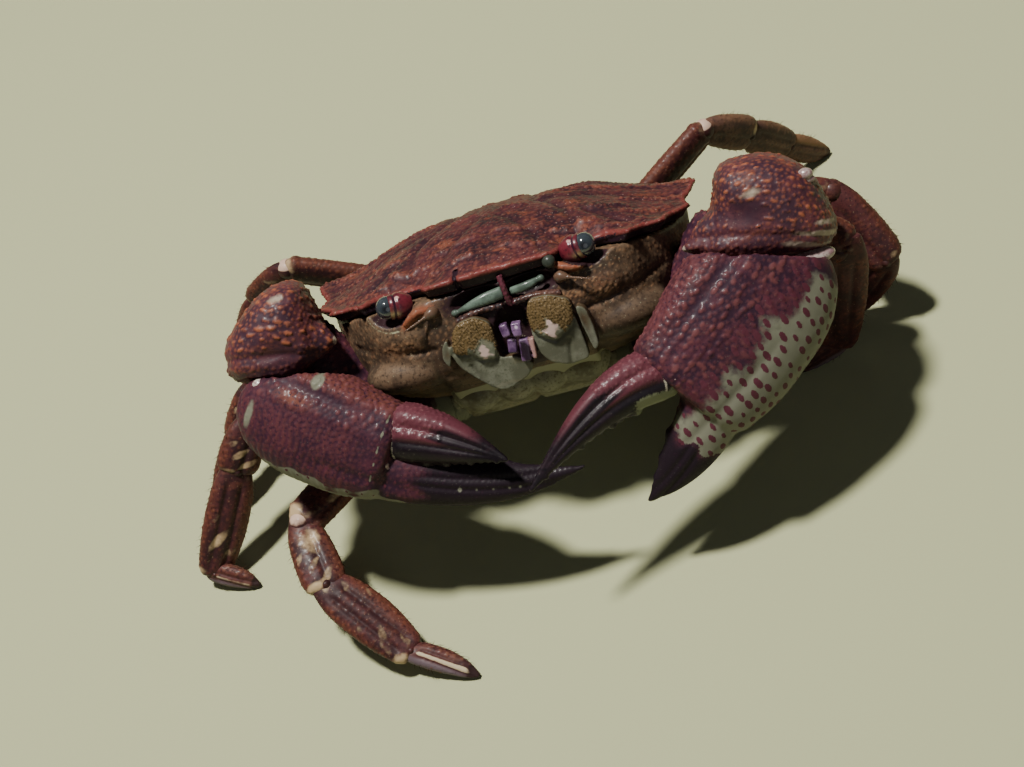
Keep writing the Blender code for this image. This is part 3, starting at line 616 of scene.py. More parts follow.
carapace = {
    "front": [(0.0, -36.8), (3.4, -37.15), (6.8, -36.9), (10.0, -36.8), (12.2, -36.3), (13.4, -35.4)],
    "orbit": [(13.5, -33.4), (14.0, -31.2), (15.4, -29.9), (17.6, -29.4), (20.0, -29.3), (22.2, -29.6),
              (24.4, -31.0)],
    "teeth": [(27.0, -33.4), (33.6, -26.6), (38.2, -15.6), (40.0, -1.6)],
    "notches": [(29.6, -28.2), (34.9, -19.6), (37.5, -8.6)],
    "bulges": (-0.2, 0.55, -0.25),  # of the orbit's end and of a tooth's two sides, outward
    "rear": [(37.4, 2.4), (34.0, 9.5), (29.8, 16.5), (25.2, 22.8), (20.4, 28.0), (16.6, 30.6), (9.0, 31.4),
             (0.0, 31.5)],
    "middle": -10.0, "top": 6.9, "fallFront": (2.4, 0.85), "fallRear": (1.8, 1.3), "fallSide": (2.45, 1.9),
    "rimHeight": [(-37, 0.4), (-28, -1.0), (-17, -2.0), (-8, -1.4), (0, 0.0), (7, -0.9), (16, -1.4),
                  (25, -0.8), (32, 1.0)],
    "upper": (0.03, 0.1, 0.2, 0.3, 0.4, 0.5, 0.59, 0.67, 0.74, 0.8, 0.85, 0.89, 0.925, 0.955, 0.98, 0.995),
    "lower": ((1.0, 0.15), (0.998, 0.5), (0.985, 0.95), (0.955, None), (0.8, None), (0.5, None),
              (0.15, None)),  # drop below the rim, none on the underside
    "grooves": [  # that part the shell's regions: the way from the middle, how deep, how wide
        ([(27, -25), (21, -20.5), (14, -15), (9.5, -9), (7.5, -3), (8.5, 3)], 0.7, 2.6),
        ([(8.5, 3), (7, 9), (8.5, 15), (11.5, 21)], 0.6, 2.4),
        ([(37, -7), (30, -8.5), (23, -7.5), (16, -9), (9.5, -9)], 0.5, 2.8),
        ([(10.5, -34), (9.0, -27), (5.5, -21), (2.5, -17)], 0.4, 2.0),
        ([(17, -28), (16, -22), (14, -15)], 0.45, 2.0),
        ([(8.5, 3), (4.5, 4.8), (0, 5.0)], 0.5, 2.0),
        ([(8.5, 15), (4.5, 18.5), (0, 19.2)], 0.35, 2.0)],
    "middleGroove": ([(0, -36), (0, -30), (0, -24)], 0.35, 1.8),
    "folds": [  # short raised folds, each a row of grains
        [(3, -30.5), (7, -31.4), (11, -30.4)], [(2.5, -24.5), (6.5, -25.2), (11, -23.6)],
        [(12.5, -25.8), (17, -25.4), (20.5, -24.0)], [(21, -27), (25.5, -27.4), (29.5, -24.4)],
        [(16, -18.5), (21.5, -17.4), (26.5, -16)], [(26, -19.4), (31, -18.4), (34.5, -16)],
        [(3, -13.6), (7, -13.9)], [(13, -4.5), (19, -3.6), (25.5, -3.0)],
        [(26, -11.6), (31.5, -11.2), (36, -9.5)], [(27, -2.5), (33, -2.2), (38.6, -1.6)],
        [(2.5, 9.5), (5, 11.5)]],
    "swellings": [(0, -14, 7, 9, 0.45), (0, 12, 6.5, 6, 0.5), (19, -1, 10, 9, 0.5), (22, -20, 7, 4.5, 0.4),
                  (5.5, -28, 4, 4, 0.15), (31, -13, 5, 4, 0.4), (18, 15, 8, 7, 0.5)],
    "under": -2.3, "foldWide": 1.5, "foldTall": 0.35, "lipTall": 0.18, "frontTo": 2.0,
    "fineGrain": (0.95, 0.50, 0.15), "foldGrain": (0.85, 0.5, 0.24), "bigGrain": (2.3, 0.55, 0.2),
    "rimBead": (0.66, 0.40, 0.20),  # spacing, radius, height
    "notch": [(-6.5, -36.8), (-6.1, -34.6)], "notchDeep": 1.3,
    "crease": [(-6.4, -35), (-7.5, -30), (-9.5, -25)], "voxel": 0.37,
}
rimHeight = softRows(carapace["rimHeight"])


def rounded(points, step):  # places on a smooth line through corners
    steps = np.cumsum([0.0] + [math.dist(a, b) for a, b in zip(points, points[1:])])
    fine = np.linspace(0, steps[-1], (len(points) - 1) * step + 1)
    axes = [softRows(list(zip(steps, [point[axis] for point in points])))(fine) for axis in (0, 1)]
    return [(float(x), float(y)) for x, y in zip(*axes)]


def toothSide(tip, foot, bulge, count=6):  # one side of a tooth, bowed outward or inward
    points = []
    away = Vector((foot[1] - tip[1], tip[0] - foot[0])).normalized()
    for index in range(1, count):
        t = index / count
        push = bulge * math.sin(math.pi * t)
        points.append((blend(tip[0], foot[0], t) - away.x * push, blend(tip[1], foot[1], t) - away.y * push))
    return points


def shellOutline():
    half = rounded(carapace["front"], 5)[:-1] + rounded(carapace["orbit"], 3)
    teeth, notches = carapace["teeth"], carapace["notches"]
    first, upper, lower = carapace["bulges"]
    half += toothSide(half[-1], teeth[0], first)
    for index, tooth in enumerate(teeth):
        half.append(tooth)
        if index < len(notches):
            half += toothSide(tooth, notches[index], upper) + [notches[index]]
            half += toothSide(notches[index], teeth[index + 1], lower)
    half += rounded([teeth[-1]] + carapace["rear"], 5)[1:]
    return half + [(-x, y) for x, y in reversed(half[1:-1])]


def evenOutline(outline, passes=160):  # the outline with its teeth smoothed away
    line = np.array(outline)
    for _ in range(passes):
        line = (np.roll(line, 1, axis=0) + 2 * line + np.roll(line, -1, axis=0)) / 4
    return line


def domeHeight(share, x, y):
    middle = carapace["middle"]
    power, fall = carapace["fallFront"] if y < middle else carapace["fallRear"]
    sideways = x ** 2 / max(x ** 2 + (y - middle) ** 2, 1e-6)
    power = blend(power, carapace["fallSide"][0], sideways)
    fall = blend(fall, carapace["fallSide"][1], sideways)
    return carapace["top"] * (1 - min(share, 1) ** power) ** fall + float(rimHeight(y)) * share ** 2


bodyWidth = softRows([(-35.4, 16.0), (-34.6, 20.5), (-33, 24.5), (-30, 27.5), (-25, 31.5), (-18, 34.5),
                      (-10, 36.6), (-2, 37.0), (5, 34.5), (12, 31.0), (20, 26.2), (26, 21.0), (29.5, 17.0)])
bodyDepth = softRows([(-35.4, 12.5), (-34.6, 14.5), (-33, 16.0), (-28, 19.5), (-20, 23.0), (-8, 24.5),
                      (4, 23.5), (14, 20.0), (22, 15.0), (29.5, 8.0)])
coreDepth = softRows([(-33, 17.0), (-28, 22.0), (-22, 27.5), (-12, 28.0), (0, 26.0), (14, 21.0), (22, 15.4),
                      (29.5, 8.2)])
bodySquare = softRows([(-35.4, 3.0), (-33, 3.4), (-18, 3.0), (-4, 2.2), (30, 2.0)])


def underShell(x, y):  # height of the shell's underside
    share = min(abs(x) / float(bodyWidth(y)), 1.1)
    return carapace["under"] + float(rimHeight(y)) * share ** 2


def shellRings(outline):
    even = evenOutline(outline)
    middle = carapace["middle"]
    rings = []
    for share in carapace["upper"]:
        ring = []
        for (x, y), (evenX, evenY) in zip(outline, even):
            x, y = blend(evenX, x, share ** 7), blend(evenY, y, share ** 7)
            px, py = x * share, middle + (y - middle) * share
            ring.append(onBody(px, py, domeHeight(share, px, py)))
        rings.append(ring)
    for share, drop in carapace["lower"]:
        ring = []
        for x, y in outline:
            px, py = x * share, middle + (y - middle) * share
            level = underShell(px, py) + 0.3 if drop is None else float(rimHeight(y)) - drop
            ring.append(onBody(px, py, level))
        rings.append(ring)
    return rings


def foldShell(form, flat, top, rimAway):  # grooves, swellings and folds; says where the folds are
    height, furrow, folds = np.zeros((3, len(flat)))
    half = carapace["grooves"]
    other = [([(-x, y) for x, y in way], deep, wide) for way, deep, wide in half]
    for way, deep, wide in half + other + [carapace["middleGroove"]]:
        share = pathShare(flat, way, wide) * softStep(0.1, 0.6, rimAway)
        height -= deep * share
        furrow = np.maximum(furrow, share)
    for x, y, wide, long, tall in carapace["swellings"]:
        for across in dict.fromkeys((x, -x)):
            height += tall * spotShare(flat, (across, y), (wide, long))
    for way in carapace["folds"]:
        for side in (1, -1):
            folds = np.maximum(folds, pathShare(flat, [(side * x, y) for x, y in way], carapace["foldWide"]))
    lift(form, (height + carapace["foldTall"] * folds) * top)
    mark(form, "shade", 0.7 * furrow * top)
    return folds


def notchShell(form):  # the notch in the front rim with its crease, both painted dark as painted shade, and dark orbit edges
    place = inBody(form["points"])
    flat = place[:, :2]
    deep = pathShare(flat, carapace["notch"], 0.9)
    form["points"] += bodyTurn[:, 1] * (carapace["notchDeep"] * deep * (place[:, 1] < -34))[:, None]
    mark(form, "spot", deep * 1.2 + pathShare(flat, carapace["crease"], 0.9) * 0.4)
    low = place[:, 2] < rimHeight(place[:, 1]) + 0.1
    for side in (1, -1):
        orbit = [(side * x, y) for x, y in carapace["orbit"]]
        mark(form, "spot", 0.8 * pathShare(flat, orbit, 0.9) * low)


def makeCarapace():
    outline = shellOutline()
    bm = bmesh.new()
    skin(bm, shellRings(outline))
    form = fuse(bm, carapace["voxel"], 1)
    place = inBody(form["points"])
    up = form["ways"] @ bodyTurn[:, 2]
    flat = place[:, :2]
    edge = np.array(outline + outline[:1])
    folds = foldShell(form, flat, softStep(0.15, 0.6, up), 1 - pathShare(flat, edge, 5.0))

    # The beaded rim, painted shade under the rim's edge, and the grains
    front = place[:, 1] < carapace["frontTo"]
    level = place[:, 2] - rimHeight(place[:, 1])
    line = pathShare(flat, edge, 1.3) * softStep(-0.75, -0.35, level) * front
    lift(form, carapace["lipTall"] * line)
    mark(form, "rim", 1.4 * line)
    # the band just under the rim's edge is painted near black: painted shade under the overhang
    mark(form, "spot", 1.2 * pathShare(flat, edge, 2.4) * softStep(-0.45, -0.85, level))
    storeForm(form)
    allowed = up > 0.2
    grains(form, carapace["fineGrain"], allowed, 11, "fine")
    grains(form, carapace["foldGrain"], allowed & (folds > 0.5), 13, "grain")
    grains(form, carapace["bigGrain"], allowed & (pathShare(flat, edge, 9.0) > 0.3) & front, 15, "grain")
    grains(form, carapace["rimBead"], (line > 0.7) & (up > -0.1), 17, "rim")
    storeForm(form)
    notchShell(form)
    finishForm("shellTop", form, "shell", ["carapace"])


makeCarapace()
print("shell made")


# Body below the shell

trunk = {
    "flankRings": (-35.4, 29.5, 46), "frontRings": (-33, -24.0, 12), "backRings": (-25.5, 29.5, 34),
    "voxel": 0.42, "orbit": (5.0, 4.4, 3.9), "mouthHalf": 14.6, "plateHalf": 14.4,
    "lobe": ((20.0, -28.2, -15.8), (10.5, 6.6, 4.6)), "smooth": ((20, -32, -16), (11, 8, 4)),
    "brow": (14, 0.35, 0.5, 0.7),  # steps, half height at its ends, added in its middle, half depth
    "feelerPits": (1.4, 5.0, -35.6, -4.7), "pitHalves": (5.4, 2.8, 2.3),  # middle, apart, back and up
    "mouth": ((1.4, -35.6, -13.5), (4.0, 3.4, 6.5)), "cheek": ((19.5, -33, -8), (5.0, 4, 2.2)),
    "grooves": [([(15.0, -35, -12), (19, -34.5, -11.6), (25, -31.5, -10.4), (31, -26, -9.6)], 0.6, 1.6),
                ([(13.5, -33.5, -20.4), (19, -31, -20.6), (25, -28.0, -18.6), (31, -23, -16)], 0.8, 1.6),
                ([(16.0, -35.5, -7), (16.2, -35.4, -12), (15.6, -33.5, -19)], 0.5, 1.3)],
    "patches": [(1.0, (19.4, -34.8, -8.2), (3.2, 3.2, 1.7)), (0.8, (-21.0, -34.8, -10.2), (5, 3.4, 1.4)),
                (0.7, (13.0, -35.5, -8.8), (3.4, 3, 0.9))],
    "socket": (5.0, 4.4, 4.2), "socketPale": {"l": 0.35, "r": 0.6},
    "grit": (1.05, 0.40, 0.13), "patchGrain": (0.72, 0.40, 0.22), "fewGrain": (3.4, 0.34, 0.14),
    "sandGrain": (1.5, 0.2, 0.1),
}
eyes = {"l": (18.2, -34.2, -0.4), "r": (-20.6, -34.2, -1.7)}
browLines = {"l": [(11.8, -35.2, -1.8), (13.6, -36.2, -3.0), (15.8, -36.4, -3.5), (18.6, -36.2, -3.2)],
             "r": [(-18.6, -35.6, -5.8), (-17.0, -36.2, -4.6), (-15.0, -36.3, -3.7), (-12.8, -35.6, -4.1)]}


def trunkRings(depth, start, end, count, steps=44):
    rings = []
    for y in np.linspace(start, end, count):
        width, deep, power = float(bodyWidth(y)), float(depth(y)), float(bodySquare(y))
        ring = []
        for index in range(steps + 1):
            angle = math.pi * index / steps
            x = width * math.copysign(abs(math.cos(angle)) ** (2 / (power + 0.6)), math.cos(angle))
            ring.append(onBody(x, y, underShell(x, y) - deep * math.sin(angle) ** (2 / power)))
        for share in np.linspace(-0.85, 0.85, 9):
            ring.append(onBody(width * share, y, underShell(width * share, y)))
        rings.append(ring)
    return rings


def trimSides(bm, half):  # keeps what lies within a half width of the middle
    for side in (1, -1):
        trim(bm, onBody(side * half, 0, 0), bodyWay(side, 0, 0))


def trunkForm():  # flanks, the mouth's core, a lobe on each side and the brows below the eyes
    bm = bmesh.new()
    skin(bm, trunkRings(bodyDepth, *trunk["flankRings"]))
    core = bmesh.new()
    skin(core, trunkRings(coreDepth, *trunk["frontRings"]))
    trimSides(core, trunk["mouthHalf"])
    addShape(bm, core)
    (x, y, z), halves = trunk["lobe"]
    for side in (1, -1):
        ball(bm, onBody(side * x, y, z), halves)
    count, thin, swell, deep = trunk["brow"]
    for way in browLines.values():
        path = softPath([onBody(*point) for point in way], count)
        arch = [max(math.sin(math.pi * index / (count - 1)), 0) ** 0.6 for index in range(count)]
        sweep(bm, tubeStations(path, bodyWay(0, 0, 1), [(thin + swell * high, deep) for high in arch]), 14)
    return fuse(bm, trunk["voxel"], 2)


def hollowTrunk(form):  # orbits, the two hollows of the inner feelers and the mouth opening
    place = inBody(form["points"])
    for letter, centre in eyes.items():
        place = press(place, centre, trunk["orbit"], (sides[letter] * 0.1, 1, -0.08))
    x, apart, y, z = trunk["feelerPits"]
    for side in (1, -1):
        place = press(place, (x + side * apart, y, z), trunk["pitHalves"], (0, 1, 0.05))
    place = press(place, *trunk["mouth"], (0, 1, 0))
    form["points"] = place @ bodyTurn.T + bodyOrigin
    storeForm(form)
    return reopen(form, trunk["voxel"], 2)


def colourTrunk(form, place, dark):
    x, y, z = place.T
    for way in browLines.values():
        mark(form, "rim", 1.3 * pathShare(place, way, 1.7))
    # the hollow under the front between the inner feelers, and the mouth opening, are painted near black:
    # painted shade in the hollows
    under = spotShare(place[:, [0, 2]], (1.2, -4.4), (11.5, 3.6)) * softStep(-31, -34, y)
    opening = (np.abs(x - 1.4) < 4.4) * (z < -6) * (z > -20.5) * (y < -28)
    mark(form, "spot", np.maximum(1.5 * under, opening))
    mark(form, "shade", dark)
    mark(form, "shade", 0.42 * softStep(14, 24, x) * softStep(-4, -9, z))
    mark(form, "pale", softStep(-20.4, -22.4, z + 0.06 * np.abs(x - 3)) * (y < -22) * (np.abs(x) < 15.5))
    for letter, centre in eyes.items():  # sockets painted dark as painted shade in the hollows, with pale outer edges
        away = np.sqrt((((place - np.array(centre)) / np.array(trunk["socket"])) ** 2).sum(1))
        mark(form, "spot", 0.9 * softStep(1.08, 0.92, away))
        outer = (x - centre[0]) * sides[letter] - 0.6 * (z - centre[2])
        pale = trunk["socketPale"][letter] * ridge(away, 1.16, 0.09)
        mark(form, "pale", pale * softStep(0.5, 2.5, outer) * (y < -31))


def makeUnderbody():
    form = hollowTrunk(trunkForm())

    # Grooves beside the mouth, the orange patches and the gritty cheek
    place = inBody(form["points"])
    x, y, z = place.T
    mirror = np.stack([np.abs(x - 0.6), y, z], axis=1)
    height, dark = 0.8 * spotShare(mirror, *trunk["cheek"]), 0.0 * x
    for way, deep, wide in trunk["grooves"]:
        height -= deep * pathShare(mirror, way, wide)
        dark = np.maximum(dark, 0.8 * pathShare(mirror, way, wide * 0.7))
    lift(form, height)
    warm = np.maximum.reduce([share * spotShare(place, *spot) for share, *spot in trunk["patches"]])
    colourTrunk(form, place, dark)
    lobe = spotShare(mirror, *trunk["smooth"])
    storeForm(form)
    front = (y < -10) & (z > -12.5) & (dark < 0.4) & (lobe < 0.5)
    grains(form, trunk["grit"], front, 21, "fine")
    grains(form, trunk["patchGrain"], warm > 0.35, 23, "grain")
    grains(form, trunk["fewGrain"], front & (y < -15), 25, "grain")
    grains(form, trunk["sandGrain"], front & (y < -15) & (x > 8), 27, "grain")
    mark(form, "warmth", 0.9 * warm)
    finishForm("underbody", form, "flank", ["flank_l", "flank_r", "epistome"])


hips = {2: (19.5, -4.5, -22.5), 3: (18.8, 4.5, -21.5), 4: (16.8, 13.0, -18.5), 5: (13.4, 20.6, -14.5)}
breastplate = {
    "hipJoints": [((-3.2, 0, -0.4), (4.6, 3.7, 3.9)), ((-0.4, -0.2, 0.2), (3.4, 3.1, 3.3))],  # from each hip
    "rootJoints": [((12.6, -14.2, -25.2), (5.4, 4.6, 4.2), 24), ((17.4, -18.0, -26.2), (4.4, 4.2, 4.0), 24),
                   ((10.6, -24.4, -23.4), (5.6, 4.6, 5.2), 28), ((3.2, -25.0, -23.6), (4.6, 4.4, 4.9), 28)],
    "seams": ((-19, -21.5), (-9.5, -10.5), (0, 0.5), (8.6, 9.5), (16.8, 17.6), (24, 24.5)),
    "seamDeep": 0.7, "middleDeep": 0.6, "bulge": ((9.5, -14.5), (5, 4)), "grain": (1.3, 0.4, 0.08),
}


def makeBreastplate():
    bm = bmesh.new()
    skin(bm, trunkRings(coreDepth, *trunk["backRings"]))
    trimSides(bm, trunk["plateHalf"])
    for side in (1, -1):  # the limbs' root joints
        for x, y, z in hips.values():
            for (across, back, up), halves in breastplate["hipJoints"]:
                ball(bm, onBody(side * (x + across), y + back, z + up), halves, segments=24)
        for (x, y, z), halves, segments in breastplate["rootJoints"]:
            ball(bm, onBody(side * x, y, z), halves, segments=segments)
    form = fuse(bm, trunk["voxel"], 2)
    x, y, z = inBody(form["points"]).T
    up = form["ways"] @ bodyTurn[:, 2]
    below = softStep(0.1, 0.6, -up)
    mirror = np.stack([np.abs(x), y], axis=1)
    height, dark = np.zeros((2, len(x)))
    for near, far in breastplate["seams"]:
        line = pathShare(mirror, [(0, near), (8, near + 0.6), (14.5, far)], 1.5)
        height -= breastplate["seamDeep"] * line * below
        dark = np.maximum(dark, 0.7 * line * below)
    middle = pathShare(mirror, [(0, -24), (0, 28)], 1.6) * below
    height -= breastplate["middleDeep"] * middle
    height += 0.5 * spotShare(mirror, *breastplate["bulge"]) * below
    lift(form, height)
    mark(form, "rim", np.maximum(dark, 0.5 * middle))
    mark(form, "spot", 0.55 * softStep(13.2, 15.0, np.abs(x)) * softStep(-0.3, 0.5, up))
    storeForm(form)
    grains(form, breastplate["grain"], below > 0.2, 31, "fine")
    finishForm("breastplate", form, "plate", ["sternum"])


tail = {"rows": [(28.6, 6.3), (26, 7.6), (22, 8.3), (18, 8.2), (13, 7.2), (8, 6.1), (3, 4.9), (-2, 3.9),
                 (-6, 3.0), (-9, 1.9), (-10.4, 0.8)],
        "joints": (24.6, 20.4, 16.0, 10.6, 4.6, -3.4), "ends": (28.4, -10.2), "thick": 1.15, "below": 4.05,
        "voxel": 0.3}


def makeTail():
    half = softRows(sorted(tail["rows"]))
    steps = np.linspace(*tail["ends"], 48)
    path = [onBody(0, y, -float(coreDepth(y)) - tail["below"]) for y in steps]
    bm = bmesh.new()
    sweep(bm, tubeStations(path, bodyWay(1, 0, 0), [(float(half(y)), tail["thick"]) for y in steps]), 30, 3.0)
    form = fuse(bm, tail["voxel"], 2)
    x, y, z = inBody(form["points"]).T
    seam = np.maximum.reduce([ridge(y - 0.02 * x ** 2, joint, 0.42) for joint in tail["joints"]])
    lift(form, 0.35 * ridge(x, 0, 1.9) - 0.5 * seam)
    mark(form, "rim", 0.9 * seam)
    finishForm("tailFlap", form, "plate", ["abdomen"])


makeUnderbody()
makeBreastplate()
makeTail()
print("body made")


# Mouth

mouth = {
    "front": -38.4, "thick": 2.8, "voxel": 0.2, "lean": (-13.0, 0.27), "rounding": 0.9,
    "thin": {"merus": 0.0, "ischium": 0.55, "exopod": 0.75},  # how far each plate lies back
    "merus": {"l": [(4.8, -8.8), (5.9, -6.7), (9.5, -6.9), (13.2, -8.8), (13.0, -12.4), (11.6, -14.2),
                    (8.4, -15.9), (6.2, -14.4), (4.7, -12.5)],
              "r": [(-9.9, -9.2), (-8.4, -7.5), (-5.0, -7.1), (-2.4, -9.0), (-2.4, -13.0), (-3.2, -16.2),
                    (-6.2, -15.7), (-7.4, -13.9), (-10.8, -13.0)]},
    "ischium": {"l": [(4.5, -12.0), (9.0, -11.0), (13.2, -11.6), (13.6, -18.8), (13.4, -21.2), (9.5, -21.5),
                      (6.2, -20.1), (4.6, -17.2)],
                "r": [(-11.6, -11.6), (-6.0, -11.0), (-2.8, -13.0), (-2.6, -16.4), (-0.4, -16.5),
                      (1.6, -17.8), (3.2, -19.2), (1.2, -21.5), (-3.4, -23.1), (-5.6, -22.2), (-8.2, -19.2),
                      (-10.6, -16.0)]},
    "exopod": {"l": [(13.7, -10.2), (15.5, -11.2), (16.0, -15.0), (15.9, -19.2), (14.6, -20.2),
                     (13.9, -14.0)],
               "r": [(-11.1, -9.8), (-12.5, -11.0), (-13.2, -13.6), (-12.4, -15.8), (-11.6, -14.0)]},
    "white": {"l": ((8.3, -13.0), (1.5, 2.1)), "r": ((-5.0, -14.1), (1.6, 1.8))},
    "fuzz": (0.44, 0.27, 0.2), "hairGap": 0.30, "hair": (0.62, 0.085),
}


def jawFront(z, thin=0.0):  # the plates lean back below
    level, lean = mouth["lean"]
    return mouth["front"] + thin + lean * max(0.0, level - z)


def slab(bm, corners, thin):  # a plate with rounded corners that faces the crab's front
    verts = [bm.verts.new(onBody(x, jawFront(z, thin), z)) for x, z in corners]
    bm.faces.new(verts)
    bmesh.ops.bevel(bm, geom=verts, offset=mouth["rounding"], segments=4, profile=0.5, affect="VERTICES",
                    material=-1, clamp_overlap=True)
    grown = bmesh.ops.extrude_face_region(bm, geom=bm.faces[:])["geom"]
    moved = [item for item in grown if isinstance(item, bmesh.types.BMVert)]
    bmesh.ops.translate(bm, vec=bodyWay(0, 1, 0) * mouth["thick"], verts=moved)


def makeJaw(letter):  # says where the hairs stand
    bm = bmesh.new()
    for part, thin in mouth["thin"].items():
        plate = bmesh.new()
        slab(plate, mouth[part][letter], thin)
        addShape(bm, plate)
    form = fuse(bm, mouth["voxel"], 3)
    x, y, z = inBody(form["points"]).T
    flat = np.stack([x, z], axis=1)
    front = softStep(0.2, 0.7, -(form["ways"] @ bodyTurn[:, 1]))
    depth = y - np.array([jawFront(value) for value in z])
    merus = mouth["merus"][letter]
    middle = np.array(merus).mean(axis=0)
    seam = pathShare(flat, merus + merus[:1], 0.8)
    height = 0.4 * spotShare(flat, middle, (3.6, 3.2)) - 0.3 * seam
    side = sides[letter]
    height -= 0.3 * pathShare(flat, [(middle[0] + side * 2.2, -16.4), (middle[0] + side * 1.2, -22)], 0.9)
    lift(form, height * front)
    centre, halves = mouth["white"][letter]
    swirl = np.stack([0.5 * np.sin(z * 2.3 + x) + 0.3 * np.sin(z * 5.1), 0.6 * np.sin(x * 2.7 + z)], axis=1)
    white = spotShare(flat + swirl, centre, halves)
    ragged = 0.7 * np.sin(x * 1.9) + 0.4 * np.sin(x * 4.3)
    fuzz = softStep(-14.6, -12.4, z + ragged) * softStep(0.5, 0.2, depth)
    mark(form, "spot", 0.95 * fuzz * (1 - white))
    mark(form, "pale", 0.9 * white * front)
    mark(form, "warmth", 0.6 * spotShare(flat, (centre[0] - side * 1.6, centre[1] + 2.6), (1.6, 1.6)))
    mark(form, "shade", 0.8 * seam * softStep(0.1, 0.4, depth))
    mark(form, "rim", softStep(0.8, 1.2, depth))
    storeForm(form)
    grains(form, mouth["fuzz"], (fuzz > 0.5) & (front > 0.3) & (white < 0.5), 41, "grain")
    storeForm(form)
    roots = spread(form, mouth["hairGap"], (fuzz > 0.55) & (front > 0.2) & (white < 0.4), 43)
    finishForm(f"jaw_{letter}", form, "jaw", [f"maxilliped_{letter}"])
    return [(Vector(form["points"][index]), Vector(form["ways"][index])) for index in roots]


palps = {
    "plates": [((-0.2, -11.3), 0.8, 1.25, -6), ((2.0, -11.7), 0.95, 1.35, 6), ((0.3, -14.5), 0.85, 1.35, 10),
               ((2.4, -15.9), 0.95, 2.2, 8), ((4.0, -16.0), 0.4, 2.0, 6)],  # place, half width, height, lean
    "front": -36.9, "thick": 1.1, "rounding": 0.3, "voxel": 0.14,
    "glint": ("pale", 0.7, (2.1, -38.0, -11.2), (0.6, 0.6, 0.7)),
}


def makePalps():
    bm = bmesh.new()
    for (x, z), half, tall, lean in palps["plates"]:
        turn = bodyFrame.to_3x3().to_4x4() @ Matrix.Rotation(math.radians(lean), 4, "Y")
        sized = turn @ Matrix.Diagonal((half, palps["thick"], tall, 1))
        block = bmesh.new()
        made = bmesh.ops.create_cube(block, size=2.0)["verts"]
        place = Matrix.Translation(onBody(x, palps["front"], z)) @ sized
        bmesh.ops.transform(block, matrix=place, verts=made)
        bmesh.ops.bevel(block, geom=block.edges[:], offset=palps["rounding"], segments=3, profile=0.5,
                        affect="EDGES", material=-1)
        addShape(bm, block)
    form = fuse(bm, palps["voxel"], 2)
    place = inBody(form["points"])
    flat = place[:, [0, 2]]
    markSpots(form, place, [palps["glint"]])
    mark(form, "spot", spotShare(flat, (2.5, -16.2), (1.1, 2.4)) + spotShare(flat, (0.9, -12.8), (0.4, 1.2)))
    mark(form, "rim", softStep(3.3, 3.7, place[:, 0]))
    finishForm("palps", form, "palp")


feelers = {
    "inner": {"l": [(2.7, -35.2, -4.9), (5.6, -35.9, -4.6), (8.6, -35.5, -4.0)],
              "r": [(1.2, -35.3, -4.6), (-3.4, -36.0, -5.0), (-8.2, -35.3, -6.0)]},
    "innerHalf": {"l": [(0.75, 0.6), (0.85, 0.65), (0.8, 0.65), (0.5, 0.45)],
                  "r": [(1.25, 0.8), (1.2, 0.8), (0.85, 0.65), (0.4, 0.35)]},
    "outer": [(12.2, -34.9, -5.0), (12.6, -35.9, -4.6), (13.8, -36.6, -4.9), (15.8, -37.4, -5.5),
              (18.2, -37.9, -6.2)],
    "outerHalf": [(0, 1.1), (0.16, 1.2), (0.30, 0.8), (0.42, 0.36), (0.7, 0.26), (1.0, 0.10)],
    "knob": (11.4, -36.4, -1.2), "voxel": 0.16, "steps": (20, 60),
}


def makeInnerFeeler(letter):
    count = feelers["steps"][0]
    half = feelers["innerHalf"][letter]
    wide, deep = (list(zip(np.linspace(0, 1, len(half)), column)) for column in zip(*half))
    path = softPath([onBody(*point) for point in feelers["inner"][letter]], count)
    bm = bmesh.new()
    sweep(bm, tubeStations(path, bodyWay(0, 0, 1), sizesAlong(np.linspace(0, 1, count), wide, deep)), 16)
    ball(bm, path[-1] + bodyWay(sides[letter], 0, 0) * 0.3, (0.8, 0.7, 0.7), segments=16)
    form = fuse(bm, feelers["voxel"], 3)
    finishForm(f"innerFeeler_{letter}", form, "feeler", [f"antennule_{letter}"])


def makeOuterFeeler(letter):
    count = feelers["steps"][1]
    path = softPath([onBody(sides[letter] * x, y, z) for x, y, z in feelers["outer"]], count)
    size = softRows(feelers["outerHalf"])
    sizes = []
    for index, t in enumerate(np.linspace(0, 1, count)):
        half = float(size(t)) * (1 + 0.14 * math.sin(index * 1.6) * (t > 0.36))  # ringed past the base
        sizes.append((half, half))
    bm = bmesh.new()
    sweep(bm, tubeStations(path, bodyWay(0, 0, 1), sizes), 14)
    if letter == "l":  # the round knob under the front rim
        ball(bm, onBody(*feelers["knob"]), (1.3, 1.2, 1.3), segments=24)
    form = openForm(bm)
    away = np.linalg.norm(inBody(form["points"]) - np.array(feelers["knob"]), axis=1)
    mark(form, "spot", away < 1.6)
    mark(form, "rim", away > 1.8)
    finishForm(f"outerFeeler_{letter}", form, "feeler", [f"antenna_{letter}"])


septum = {"post": [(1.7, -36.2, -1.2), (1.9, -36.5, -3.2), (2.0, -36.2, -5.4), (2.2, -35.4, -7.2)],
          "bar": [(1.0, -35.4, -7.0), (5.4, -35.9, -6.7), (10.2, -35.6, -7.6)], "middle": 1.6,
          "barHalf": (0.62, 0.7), "voxel": 0.2, "grain": (0.6, 0.34, 0.12)}


